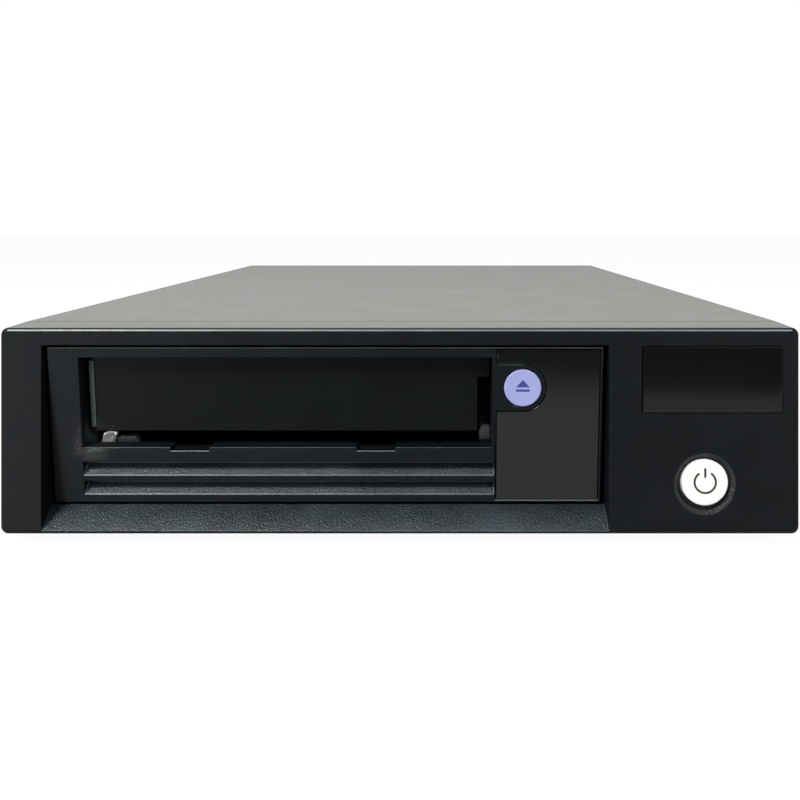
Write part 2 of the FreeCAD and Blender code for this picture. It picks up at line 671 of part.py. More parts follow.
def plate_z(points, z0, z1):
    """Outline given as (x, y) points, from z0 to z1."""
    return outline([Vector(x, y, z0) for x, y in points], Vector(0, 0, z1 - z0))


def join(*solids):
    return solids[0].multiFuse(list(solids[1:])).removeSplitter()


def cut(solid, *tools):
    return solid.cut(list(tools))


def group(solids):
    return Part.makeCompound(list(solids))


def save(name, shape):
    shape.exportStep("parts/" + name + ".step")


def lean(shape):
    """Tips a shape that was built on an upright face at FRONT back onto the leaning fascia."""
    shape.rotate(Vector(0, FRONT, FOOT_HEIGHT), RIGHT, -LEAN_DEG)
    return shape


def face_y(z):
    """Y of the fascia's leaning face at height z."""
    return FRONT + (z - FOOT_HEIGHT) * math.tan(LEAN)


def screw(x, y, z, direction, length, head=SCREW_HEAD, head_r=SCREW_HEAD_R):
    """A screw whose head sits on the point and whose shank runs the other way."""
    shank = rod(x, y, z, SCREW_R, length, direction * -1)
    return join(rod(x, y, z, head_r, head, direction), shank)


def screw_hole(x, y, z, direction, length):
    return rod(x, y, z, SCREW_R + THREAD_FIT, length, direction * -1)


def cable(points, radius, bend):
    """A round cable: straight runs joined by tangent arcs of the given radius."""
    nodes = [Vector(*p) for p in points]
    edges = []
    start = nodes[0]
    for before, corner, after in zip(nodes, nodes[1:], nodes[2:]):
        come = (corner - before).normalize()
        leave = (after - corner).normalize()
        turn = come.getAngle(leave)
        back_off = bend * math.tan(turn / 2)
        first = corner - come * back_off
        last = corner + leave * back_off
        inward = (leave - come).normalize()
        middle = corner + inward * (bend / math.cos(turn / 2) - bend)
        edges.append(Part.LineSegment(start, first).toShape())
        edges.append(Part.Arc(first, middle, last).toShape())
        start = last
    edges.append(Part.LineSegment(start, nodes[-1]).toShape())
    path = Part.Wire(edges)
    section = Part.Wire(Part.makeCircle(radius, nodes[0], nodes[1] - nodes[0]))
    return path.makePipeShell([section], True, False)


def tooth_half(module, height):
    """Half the thickness of a tooth at a height over the pitch line, with backlash."""
    flank = math.tan(math.radians(20))
    return module * (math.pi / 4 - BACKLASH / 2) - height * flank


def gear(x, y, z0, z1, teeth, module, first_tooth_deg):
    """A spur gear with straight-sided teeth; the first tooth points at the given angle."""
    pitch_r = module * teeth / 2
    tip = TOOTH_TIP * module
    root = -TOOTH_ROOT * module
    points = []
    for i in range(teeth):
        middle = math.radians(first_tooth_deg + 360.0 * i / teeth)
        for height, side in ((root, -1), (tip, -1), (tip, 1), (root, 1)):
            r = pitch_r + height
            a = middle + side * tooth_half(module, height) / r
            points.append((x + r * math.cos(a), y + r * math.sin(a)))
    return plate_z(points, z0, z1)


def rounded_box(x0, x1, y0, y1, z0, z1, radius, direction):
    """A box with the four edges that run along a direction rounded."""
    solid = box(x0, x1, y0, y1, z0, z1)
    edges = [e for e in solid.Edges if abs(e.tangentAt(e.FirstParameter).dot(direction)) > 0.9]
    return solid.makeFillet(radius, edges)


# ---- enclosure -------------------------------------------------------------------------------
def fascia_shell():
    """The moulding's outer form: leaning face, sloped top, rounded corners and front edges."""
    top_front = HEIGHT - FASCIA_TOP_DROP
    half = WIDTH / 2
    section = [(FRONT, FOOT_HEIGHT), (face_y(top_front), top_front),
               (FASCIA_BACK, HEIGHT), (FASCIA_BACK, FOOT_HEIGHT)]
    solid = bar_x(section, -half, half)
    corners = []
    for edge in solid.Edges:
        a, b = edge.Vertexes[0].Point, edge.Vertexes[-1].Point
        if abs(a.x - b.x) < NEAR and abs(a.y - b.y) > FASCIA_DEPTH / 2:
            corners.append(edge)
    solid = solid.makeFillet(FASCIA_CORNER_R, corners)
    rim = []
    for edge in solid.Edges:
        reach = max(v.Point.y - face_y(v.Point.z) for v in edge.Vertexes)
        if reach < NEAR:
            rim.append(edge)
    return solid.makeFillet(FASCIA_EDGE_R, rim)


def fascia_hollow():
    half = WIDTH / 2 - FASCIA_WALL
    low = FOOT_HEIGHT + FASCIA_WALL
    high = HEIGHT - FASCIA_TOP_DROP - FASCIA_WALL
    behind = FASCIA_BACK + FASCIA_WALL
    section = [(face_y(low) + FASCIA_WALL, low), (face_y(high) + FASCIA_WALL, high),
               (behind, HEIGHT - FASCIA_WALL), (behind, low)]
    return bar_x(section, -half, half)


def drive_recess(grow):
    """The space that the drive's front shows in: level walls, and a ramp at the bottom."""
    ahead = FRONT - FASCIA_DEPTH
    lip = face_y(CUT_BOTTOM)
    section = [(ahead, CUT_BOTTOM), (lip, CUT_BOTTOM), (RAMP_BACK, RAMP_TOP),
               (FASCIA_BACK + SHEET, RAMP_TOP), (FASCIA_BACK + SHEET, CUT_TOP + grow),
               (ahead, CUT_TOP + grow)]
    return bar_x(section, CUT_LEFT - grow, CUT_RIGHT + grow)


def switch_posts():
    """Where the fascia's posts for the switch board stand, as x and upright z."""
    return [(POWER_X + offset, FOOT_HEIGHT + POWER_UP + SWITCH_POST_UP) for offset in SWITCH_POST_OFFSETS]


def front_fascia():
    shell = cut(fascia_shell(), fascia_hollow())
    wall = box(CUT_LEFT - RECESS_WALL, CUT_RIGHT + RECESS_WALL, FRONT, RECESS_BACK,
               FOOT_HEIGHT, CUT_TOP + RECESS_WALL)
    wall = wall.common(fascia_shell())
    under_ramp = box(CUT_LEFT, CUT_RIGHT, RAMP_BACK + RECESS_WALL, FASCIA_BACK + SHEET,
                     FOOT_HEIGHT + FASCIA_WALL, RAMP_TOP - RECESS_WALL)
    wall = cut(wall, under_ramp)
    face_z = FOOT_HEIGHT + POWER_UP
    guide = lean(rod(POWER_X, FRONT + FASCIA_WALL / 2, face_z, GUIDE_OUTER_R,
                     POWER_GUIDE_LENGTH - FASCIA_WALL / 2, BACKWARD))
    board_front = SWITCH_FRONT + SWITCH_DEPTH
    posts = [lean(rod(x, FRONT + FASCIA_WALL / 2, z, SWITCH_POST_R,
                      board_front - FASCIA_WALL / 2, BACKWARD)) for x, z in switch_posts()]
    bosses = [rod(x, face_y(z) + FASCIA_WALL / 2, z, BOSS_R,
                  FASCIA_BACK - face_y(z) - FASCIA_WALL / 2, BACKWARD) for x, z in FASCIA_BOSSES]
    solid = join(shell, wall, guide, *posts, *bosses)
    well = lean(Part.makeCone(WELL_R, POWER_R + WELL_FLOOR_GAP, WELL_DEPTH,
                              Vector(POWER_X, FRONT, face_z + WELL_OFFSET_UP), BACKWARD))
    bore = lean(rod(POWER_X, FRONT - PAST, face_z, POWER_R + RUN_GAP, POWER_GUIDE_LENGTH + 2, BACKWARD))
    badge = BADGE_GAP
    seat = lean(box(BADGE_LEFT - badge, BADGE_LEFT + BADGE_WIDTH + badge, FRONT - PAST, FRONT + BADGE_SINK,
                    FOOT_HEIGHT + BADGE_UP - badge, FOOT_HEIGHT + BADGE_UP + BADGE_HEIGHT + badge))
    holes = [screw_hole(x, FASCIA_BACK, z, BACKWARD, FASCIA_SCREW + SHEET) for x, z in FASCIA_BOSSES]
    holes += [lean(screw_hole(x, FRONT + board_front, z, BACKWARD, SWITCH_SCREW)) for x, z in switch_posts()]
    return cut(solid, drive_recess(0), well, bore, seat, *holes)


def badge_plate():
    top = FOOT_HEIGHT + BADGE_UP + BADGE_HEIGHT
    plate = rounded_box(BADGE_LEFT, BADGE_LEFT + BADGE_WIDTH, FRONT + BADGE_SINK - BADGE_THICK,
                        FRONT + BADGE_SINK, FOOT_HEIGHT + BADGE_UP, top, BADGE_CORNER_R, BACKWARD)
    return lean(plate)


def power_button():
    z = FOOT_HEIGHT + POWER_UP
    cap = rod(POWER_X, FRONT - POWER_PROUD, z, POWER_R, POWER_GUIDE_LENGTH + POWER_PROUD + RUN_GAP, BACKWARD)
    front_edges = [e for e in cap.Edges if e.CenterOfMass.y < FRONT]
    cap = cap.makeFillet(POWER_EDGE_R, front_edges[:1])
    flange = rod(POWER_X, FRONT + POWER_GUIDE_LENGTH + RUN_GAP, z, POWER_FLANGE_R,
                 POWER_FLANGE_THICK, BACKWARD)
    stem_start = FRONT + POWER_GUIDE_LENGTH
    stem = rod(POWER_X, stem_start, z, POWER_STEM_R, SWITCH_FRONT + POWER_ENTER - POWER_GUIDE_LENGTH, BACKWARD)
    return lean(join(cap, flange, stem))


def power_switch():
    z = FOOT_HEIGHT + POWER_UP
    half = SWITCH_SIZE / 2
    body = box(POWER_X - half, POWER_X + half, FRONT + SWITCH_FRONT, FRONT + SWITCH_FRONT + SWITCH_DEPTH,
               z - half, z + half)
    bore = rod(POWER_X, FRONT + SWITCH_FRONT, z, POWER_STEM_R + SHAFT_FIT,
               POWER_ENTER + POWER_TRAVEL + RUN_GAP, BACKWARD)
    return lean(cut(body, bore))


def switch_board():
    z = FOOT_HEIGHT + POWER_UP
    front = FRONT + SWITCH_FRONT + SWITCH_DEPTH
    board = box(POWER_X - SWITCH_BOARD_LEFT, POWER_X + SWITCH_BOARD_RIGHT, front, front + BOARD,
                z - SWITCH_BOARD_BELOW, z + SWITCH_BOARD_ABOVE)
    holes = [screw_hole(x, front + BOARD, up, BACKWARD, BOARD) for x, up in switch_posts()]
    return lean(cut(board, *holes))


def switch_board_screws():
    back = FRONT + SWITCH_FRONT + SWITCH_DEPTH + BOARD
    length = BOARD + SWITCH_SCREW
    return group([lean(screw(x, back, z, BACKWARD, length, head_r=SMALL_HEAD_R)) for x, z in switch_posts()])


def switch_header():
    """Small connector on the back of the switch board, with its cable's plug."""
    z = FOOT_HEIGHT + POWER_UP - SWITCH_PLUG_DROP
    back = FRONT + SWITCH_FRONT + SWITCH_DEPTH + BOARD
    half = SWITCH_PLUG_WIDTH / 2
    return lean(box(POWER_X - half, POWER_X + half, back, back + SWITCH_PLUG_DEPTH,
                    z - SWITCH_PLUG_HEIGHT / 2, z + SWITCH_PLUG_HEIGHT / 2))


def fascia_screws():
    return group([screw(x, EAR_BACK, z, BACKWARD, SHEET + FASCIA_SCREW, head_r=EAR_HEAD_R) for x, z in FASCIA_BOSSES])


def base_chassis():
    half = CHASSIS_HALF
    top = FLOOR_TOP + CHASSIS_SIDE_HEIGHT
    floor = box(-half, half, FASCIA_BACK, PANEL_OUT, FOOT_HEIGHT, FLOOR_TOP)
    sides = [box(s - SHEET / 2, s + SHEET / 2, FASCIA_BACK, PANEL_OUT, FOOT_HEIGHT, top)
             for s in (-half + SHEET / 2, half - SHEET / 2)]
    strip = box(-half, half, FASCIA_BACK, EAR_BACK, FOOT_HEIGHT, DRIVE_BOTTOM - STRIP_UNDER)
    inner = FASCIA_BOSSES[-1][0] - BOSS_R
    ears = [box(min(s * inner, s * half), max(s * inner, s * half), FASCIA_BACK, EAR_BACK,
                FOOT_HEIGHT, HEIGHT - SHEET - EAR_SHORT) for s in (-1, 1)]
    solid = join(floor, strip, *sides, *ears)
    holes = [screw_hole(x, EAR_BACK, z, BACKWARD, SHEET) for x, z in FASCIA_BOSSES]
    holes += [screw_hole(x, y, FOOT_HEIGHT, UP * -1, SHEET) for x, y in FOOT_SPOTS]
    return cut(solid, *holes)


def rubber_feet():
    feet = []
    for x, y in FOOT_SPOTS:
        pad = rod(x, y, 0, FOOT_RADIUS, FOOT_HEIGHT)
        pad = pad.makeChamfer(FOOT_CHAMFER, [e for e in pad.Edges if e.CenterOfMass.z < NEAR][:1])
        feet.append(join(pad, rod(x, y, FOOT_HEIGHT, SCREW_R, SHEET)))
    return group(feet)


def side_vents():
    """Upright slots, in two rows of two groups, through both sides of the cover."""
    slots = []
    for start in VENT_GROUPS:
        for row in range(VENT_ROWS):
            for i in range(VENT_COUNT):
                y = start + i * VENT_PITCH
                z = FLOOR_TOP + VENT_LOW + row * VENT_STEP
                slots.append(rounded_box(-WIDTH, WIDTH, y, y + VENT_WIDTH, z, z + VENT_HEIGHT,
                                         VENT_WIDTH / 2 - SLOT_FLAT, RIGHT))
    return slots


def top_cover():
    outer = rounded_box(-COVER_HALF, COVER_HALF, COVER_FRONT, COVER_BACK, -FOOT_HEIGHT, HEIGHT,
                        COVER_BEND_R, BACKWARD)
    inner = box(-CHASSIS_HALF, CHASSIS_HALF, COVER_FRONT - PAST, PANEL_OUT, -FOOT_HEIGHT - PAST, HEIGHT - SHEET)
    back_open = box(-CHASSIS_HALF, CHASSIS_HALF, PANEL_OUT - PAST, COVER_BACK + PAST, -FOOT_HEIGHT - PAST,
                    HEIGHT - SHEET - COVER_LIP_HEIGHT)
    below = box(-WIDTH, WIDTH, FRONT, BACK, -FOOT_HEIGHT - PAST, FOOT_HEIGHT)
    holes = [screw_hole(x, COVER_BACK, LIP_SCREW_Z, BACKWARD, SHEET) for x in LIP_SCREW_XS]
    return cut(outer, inner, back_open, below, *side_vents(), *holes)


def cover_screws():
    return group([screw(x, COVER_BACK, LIP_SCREW_Z, BACKWARD, LIP_SCREW) for x in LIP_SCREW_XS])


def fan_hole_spots():
    """Holes of the grille in front of the fan, in rings round its axis."""
    spots = [(FAN_X, FAN_Z)]
    for ring_number in range(1, GRILLE_RINGS + 1):
        count = 6 * ring_number
        radius = GRILLE_PITCH * ring_number
        for i in range(count):
            angle = 2 * math.pi * i / count
            spots.append((FAN_X + radius * math.cos(angle), FAN_Z + radius * math.sin(angle)))
    return spots


def fan_corner_spots():
    half = FAN_HOLE_PITCH / 2
    return [(FAN_X + sx * half, FAN_Z + sz * half) for sx in (-1, 1) for sz in (-1, 1)]


def rear_panel():
    plate = box(-CHASSIS_HALF + SHEET, CHASSIS_HALF - SHEET, PANEL_IN, PANEL_OUT, FLOOR_TOP, HEIGHT - SHEET)
    flange = box(-CHASSIS_HALF + SHEET, CHASSIS_HALF - SHEET, PANEL_IN - REAR_FLANGE, PANEL_OUT,
                 HEIGHT - 2 * SHEET, HEIGHT - SHEET)
    solid = join(plate, flange)
    tools = [rod(x, PANEL_IN - PAST, z, GRILLE_HOLE_R, SHEET + 2 * PAST, BACKWARD) for x, z in fan_hole_spots()]
    tools += [screw_hole(x, PANEL_OUT, z, BACKWARD, SHEET) for x, z in fan_corner_spots()]
    tools += [screw_hole(x, PANEL_OUT, LIP_SCREW_Z, BACKWARD, SHEET) for x in LIP_SCREW_XS]
    tools.append(box(INLET_X - INLET_WIDTH / 2, INLET_X + INLET_WIDTH / 2, PANEL_IN - PAST, PANEL_OUT + PAST,
                     INLET_Z - INLET_HEIGHT / 2, INLET_Z + INLET_HEIGHT / 2))
    for x in PORT_XS:
        tools.append(box(x - PORT_WIDTH / 2, x + PORT_WIDTH / 2, PANEL_IN - PAST, PANEL_OUT + PAST,
                         PORT_Z - PORT_HEIGHT / 2, PORT_Z + PORT_HEIGHT / 2))
    for x in REAR_SLOT_XS:
        tools.append(rounded_box(x, x + REAR_SLOT_WIDTH, PANEL_IN - PAST, PANEL_OUT + PAST, REAR_SLOT_Z,
                                 REAR_SLOT_Z + REAR_SLOT_HEIGHT, REAR_SLOT_WIDTH / 2 - SLOT_FLAT, BACKWARD))
    return cut(solid, *tools)


# ---- rear fittings ---------------------------------------------------------------------------
def mains_inlet():
    """Three-pin appliance inlet: flange, body and the cavity that the plug goes in."""
    half_w = INLET_WIDTH / 2
    half_h = INLET_HEIGHT / 2
    body = box(INLET_X - half_w, INLET_X + half_w, BACK - INLET_DEPTH, BACK,
               INLET_Z - half_h, INLET_Z + half_h)
    flange = rounded_box(INLET_X - half_w - INLET_FLANGE, INLET_X + half_w + INLET_FLANGE, PANEL_OUT, BACK,
                         INLET_Z - half_h - INLET_FLANGE, INLET_Z + half_h + INLET_FLANGE,
                         INLET_CORNER_R, BACKWARD)
    w = INLET_CAVITY_W / 2
    h = INLET_CAVITY_H / 2
    slant = INLET_SLANT
    mouth = [(INLET_X - w, INLET_Z - h), (INLET_X + w, INLET_Z - h), (INLET_X + w, INLET_Z + h - slant),
             (INLET_X + w - slant, INLET_Z + h), (INLET_X - w + slant, INLET_Z + h),
             (INLET_X - w, INLET_Z + h - slant)]
    cavity = plate_y(mouth, BACK - INLET_CAVITY_D, BACK + PAST)
    slots = [box(*pin_box(x, z, 0)) for x, z in pin_spots()]
    return cut(join(body, flange), cavity, *slots)


def pin_spots():
    low = INLET_Z - PIN_STAGGER
    return [(INLET_X - PIN_SPREAD, low), (INLET_X, INLET_Z + PIN_STAGGER), (INLET_X + PIN_SPREAD, low)]


def pin_box(x, z, tail):
    return (x - PIN_WIDTH / 2, x + PIN_WIDTH / 2, BACK - INLET_DEPTH - tail, BACK - PIN_SHY,
            z - PIN_HEIGHT / 2, z + PIN_HEIGHT / 2)


def inlet_pins():
    return group([box(*pin_box(x, z, PIN_TAIL)) for x, z in pin_spots()])


def data_ports():
    """Two metal cages, each open at the back and closed at its inner end."""
    cages = []
    for x in PORT_XS:
        half_w = PORT_WIDTH / 2
        half_h = PORT_HEIGHT / 2
        cage = box(x - half_w, x + half_w, COVER_BACK - PORT_DEPTH, COVER_BACK, PORT_Z - half_h, PORT_Z + half_h)
        inside = box(x - half_w + PORT_SHELL, x + half_w - PORT_SHELL, COVER_BACK - PORT_DEPTH + PORT_SHELL,
                     COVER_BACK + PAST, PORT_Z - half_h + PORT_SHELL, PORT_Z + half_h - PORT_SHELL)
        post = box(x - PORT_POST / 2, x + PORT_POST / 2, COVER_BACK - PORT_DEPTH,
                   COVER_BACK - PORT_DEPTH + PORT_POST, FLOOR_TOP, PORT_Z - half_h)
        cages.append(join(cut(cage, inside), post))
    return group(cages)


def port_tongues():
    """The contact board inside each cage, held in a block at the inner end."""
    tongues = []
    for x in PORT_XS:
        half_w = PORT_WIDTH / 2 - PORT_SHELL
        half_h = PORT_HEIGHT / 2 - PORT_SHELL
        inner = COVER_BACK - PORT_DEPTH + PORT_SHELL
        block = box(x - half_w, x + half_w, inner, inner + PORT_BLOCK, PORT_Z - half_h, PORT_Z + half_h)
        tongue = box(x - half_w + PORT_TONGUE_SIDE, x + half_w - PORT_TONGUE_SIDE, inner,
                     COVER_BACK - PORT_TONGUE_BACK, PORT_Z - PORT_TONGUE_THICK / 2, PORT_Z + PORT_TONGUE_THICK / 2)
        tongues.append(join(block, tongue))
    return group(tongues)


def fan_frame():
    half = FAN_SIZE / 2
    front = PANEL_IN - FAN_DEPTH
    body = rounded_box(FAN_X - half, FAN_X + half, front, PANEL_IN, FAN_Z - half, FAN_Z + half, FAN_CORNER_R,
                       BACKWARD)
    bore = rod(FAN_X, front - PAST, FAN_Z, half - FAN_WALL, FAN_DEPTH + 2 * PAST, BACKWARD)
    waist = ring(FAN_X, front + FAN_RIM, FAN_Z, FAN_SIZE, half + FAN_WAIST, FAN_DEPTH - 2 * FAN_RIM, BACKWARD)
    body = cut(body, bore, waist)
    hub = rod(FAN_X, PANEL_IN - FAN_STRUT_DEPTH, FAN_Z, FAN_HUB_R, FAN_STRUT_DEPTH, BACKWARD)
    struts = []
    for i in range(4):
        strut = box(FAN_X - FAN_STRUT / 2, FAN_X + FAN_STRUT / 2, PANEL_IN - FAN_STRUT_DEPTH, PANEL_IN, FAN_Z,
                    FAN_Z + half - FAN_STRUT_SHY)
        strut.rotate(Vector(FAN_X, 0, FAN_Z), BACKWARD, 45 + 90 * i)
        struts.append(strut)
    bearing = rod(FAN_X, PANEL_IN - FAN_BEARING, FAN_Z, FAN_BEARING_R, FAN_BEARING, BACKWARD)
    solid = join(body, hub, bearing, *struts)
    corners = [screw_hole(x, PANEL_IN, z, BACKWARD, FAN_DEPTH) for x, z in fan_corner_spots()]
    shaft = rod(FAN_X, PANEL_IN - FAN_BEARING - PAST, FAN_Z, FAN_SHAFT_R + SHAFT_FIT, FAN_SHAFT_INSIDE, BACKWARD)
    return cut(solid, shaft, *corners)


def fan_rotor():
    """Hub cup with its shaft and twisted blades."""
    front = PANEL_IN - FAN_DEPTH + FAN_ROTOR_SETBACK
    back = PANEL_IN - FAN_STRUT_DEPTH - RUN_GAP
    cup = rod(FAN_X, front, FAN_Z, FAN_HUB_R, back - front, BACKWARD)
    hollow = rod(FAN_X, front + FAN_HUB_FACE, FAN_Z, FAN_HUB_R - FAN_HUB_WALL, back - front, BACKWARD)
    shaft = rod(FAN_X, front, FAN_Z, FAN_SHAFT_R, back - front - FAN_ROTOR_SETBACK, BACKWARD)
    tip = FAN_SIZE / 2 - FAN_WALL - FAN_BORE_GAP
    root = FAN_HUB_R - FAN_HUB_WALL * 2 / 3
    blades = []
    for i in range(FAN_BLADES):
        blade = box(FAN_X - FAN_BLADE / 2, FAN_X + FAN_BLADE / 2, front + FAN_BLADE_SHY, back - 2 * FAN_BLADE_SHY,
                    FAN_Z + root, FAN_Z + tip)
        blade.rotate(Vector(FAN_X, (front + back) / 2, FAN_Z), UP, FAN_BLADE_TURN_DEG)
        blade.rotate(Vector(FAN_X, 0, FAN_Z), BACKWARD, 360.0 / FAN_BLADES * i)
        blades.append(blade)
    sweep = rod(FAN_X, front, FAN_Z, tip, back - front, BACKWARD)
    return join(cut(cup, hollow), shaft, *blades).common(sweep)


def fan_screws():
    return group([screw(x, PANEL_OUT, z, BACKWARD, FAN_SCREW) for x, z in fan_corner_spots()])


# ---- power supply ------------------------------------------------------------------------------
def psu_posts():
    return [(x, y) for x in (PSU_LEFT + PSU_MARGIN, PSU_RIGHT - PSU_MARGIN)
            for y in (PSU_FRONT + PSU_MARGIN, PSU_BACK - PSU_MARGIN)]


def psu_frame():
    """Open frame of sheet steel: floor, two sides, pierced for air, with the board's posts."""
    base = box(PSU_LEFT, PSU_RIGHT, PSU_FRONT, PSU_BACK, FLOOR_TOP, PSU_FLOOR)
    top = FLOOR_TOP + PSU_HEIGHT
    sides = [box(x, x + SHEET, PSU_FRONT, PSU_BACK, FLOOR_TOP, top) for x in (PSU_LEFT, PSU_RIGHT - SHEET)]
    posts = [rod(x, y, PSU_FLOOR, PSU_POST_R, PSU_BOARD_LIFT) for x, y in psu_posts()]
    low = PSU_DECK - BOARD - PLUG_ROOM
    window = box(PSU_LEFT - PAST, PSU_LEFT + SHEET + PAST, POWER_PLUG_Y - POWER_PLUG_HALF - PLUG_ROOM,
                 POWER_PLUG_Y + POWER_PLUG_HALF + PLUG_ROOM, low, PSU_DECK + POWER_PLUG_TALL + PLUG_ROOM)
    air = []
    pitch = (PSU_BACK - PSU_FRONT - PSU_AIR_FIRST - PSU_AIR_LAST) / PSU_AIR_COUNT
    for i in range(PSU_AIR_COUNT):
        y = PSU_FRONT + PSU_AIR_FIRST + i * pitch
        air.append(rounded_box(PSU_LEFT - PAST, PSU_RIGHT + PAST, y, y + PSU_AIR_WIDTH, PSU_DECK + PSU_AIR_LOW,
                               top - PSU_AIR_TOP, PSU_AIR_WIDTH / 2 - SLOT_FLAT, RIGHT))
    holes = [screw_hole(x, y, PSU_FLOOR + PSU_BOARD_LIFT, UP, PSU_BOARD_LIFT) for x, y in psu_posts()]
    return cut(join(base, *sides, *posts), window, *air, *holes)


def psu_board():
    gap = PSU_BOARD_GAP
    board = box(PSU_LEFT + SHEET + gap, PSU_RIGHT - SHEET - gap, PSU_FRONT + gap, PSU_BACK - gap,
                PSU_DECK - BOARD, PSU_DECK)
    holes = [screw_hole(x, y, PSU_DECK, UP, BOARD) for x, y in psu_posts()]
    return cut(board, *holes)


def psu_screws():
    return group([screw(x, y, PSU_DECK, UP, BOARD + PSU_SCREW) for x, y in psu_posts()])


def psu_plugs():
    """The board's connectors with their plugs: drive power, fan, mains and switch."""
    z = PSU_DECK
    back = PSU_BACK + BACK_PLUG_REACH
    front = PSU_FRONT - BACK_PLUG_REACH
    drive = box(PSU_LEFT - BACK_PLUG_REACH, PSU_LEFT + PLUG_LENGTH, POWER_PLUG_Y - POWER_PLUG_HALF,
                POWER_PLUG_Y + POWER_PLUG_HALF, z, z + POWER_PLUG_TALL)
    fan = box(FAN_PLUG_X - FAN_PLUG_HALF, FAN_PLUG_X + FAN_PLUG_HALF, back - PLUG_LENGTH, back,
              z, z + BACK_PLUG_TALL)
    mains = box(MAINS_PLUG_X - MAINS_PLUG_HALF, MAINS_PLUG_X + MAINS_PLUG_HALF, back - PLUG_LENGTH, back,
                z, z + POWER_PLUG_TALL)
    switch = box(FRONT_PLUG_X - FRONT_PLUG_HALF, FRONT_PLUG_X + FRONT_PLUG_HALF, front,
                 front + PLUG_LENGTH, z, z + BACK_PLUG_TALL)
    # the corner posts' screws stand under the board's end plugs
    clear = [rod(x, y, z, SCREW_HEAD_R + RUN_GAP, SCREW_HEAD + RUN_GAP) for x, y in psu_posts()]
    return group([cut(s, *clear) for s in (drive, fan, mains, switch)])


def psu_transformer():
    """Wound transformer: core halves round a coil, and a choke behind it."""
    y, z = PSU_FRONT + CORE_FROM_FRONT, PSU_DECK
    half = CORE_HALF_WIDTH
    long = CORE_HALF_LENGTH
    block = box(PSU_X - half, PSU_X + half, y - long, y + long, z, z + CORE_TALL)
    inside = box(PSU_X - half + CORE_LEG, PSU_X + half - CORE_LEG, y - long - PAST, y + long + PAST, z + CORE_LEG,
                 z + CORE_TALL - CORE_LEG)
    reach = half - CORE_LEG - COIL_GAP
    coil = rounded_box(PSU_X - reach, PSU_X + reach, y - long - COIL_OVER, y + long + COIL_OVER,
                       z + CORE_LEG + COIL_GAP, z + CORE_TALL - CORE_LEG - COIL_GAP, COIL_EDGE_R, BACKWARD)
    choke = ring(PSU_X, PSU_FRONT + CHOKE_FROM_FRONT, z, CHOKE_R, CHOKE_BORE_R, CHOKE_TALL)
    return group([cut(block, inside), coil, choke])


def psu_capacitors():
    cans = []
    for along, radius, tall in CAN_SPOTS:
        can = rod(PSU_X, PSU_FRONT + along, PSU_DECK, radius, tall)
        rims = [e for e in can.Edges if len(e.Vertexes) == 1 and e.CenterOfMass.z > PSU_DECK + tall / 2]
        cans.append(can.makeFillet(CAN_EDGE_R, rims))
    return group(cans)


def psu_heat_sinks():
    """Two finned plates, one along each side of the board."""
    top = PSU_DECK + SINK_TALL
    start = PSU_FRONT + SINK_START
    end = PSU_FRONT + SINK_END
    count = int((end - start - SINK_FIN) / SINK_FIN_PITCH) + 1
    sinks = []
    for wall, inward in ((PSU_LEFT + SHEET + SINK_INSET, 1), (PSU_RIGHT - SHEET - SINK_INSET, -1)):
        face = wall + inward * SINK_THICK
        tip = face + inward * SINK_FIN_REACH
        plate = box(min(wall, face), max(wall, face), start, end, PSU_DECK, top)
        spots = [start + SINK_FIN_PITCH * k for k in range(count)]
        fins = [box(min(face, tip), max(face, tip), y, y + SINK_FIN, PSU_DECK + SINK_LEG, top) for y in spots]
        sinks.append(join(plate, *fins))
    return group(sinks)


# ---- drive module: front ---------------------------------------------------------------------
def panel_outline(y0, y1, grow):
    """The smoked panel's plan, with the keyhole that goes round the eject button from its left."""
    plate = box(PANEL_LEFT - grow, PANEL_RIGHT + grow, y0, y1, PANEL_BOTTOM - grow, PANEL_TOP + grow)
    r = KEY_R - grow
    key = join(box(PANEL_LEFT - PANEL_THICK, KEY_X, y0 - 1, y1 + 1, KEY_Z - r, KEY_Z + r),
               rod(KEY_X, y0 - 1, KEY_Z, r, y1 - y0 + 2, BACKWARD))
    return cut(plate, key)


def groove(top):
    """Sloping groove: level ceiling, short upright back, ramp down to the front."""
    low = top - GROOVE_HEIGHT
    section = [(BEZEL_FRONT - PAST, low), (BEZEL_FRONT, low), (BEZEL_FRONT + GROOVE_DEPTH, top - GROOVE_BACK_HEIGHT),
               (BEZEL_FRONT + GROOVE_DEPTH, top), (BEZEL_FRONT - PAST, top)]
    return bar_x(section, MOUTH_LEFT, GROOVE_RIGHT)


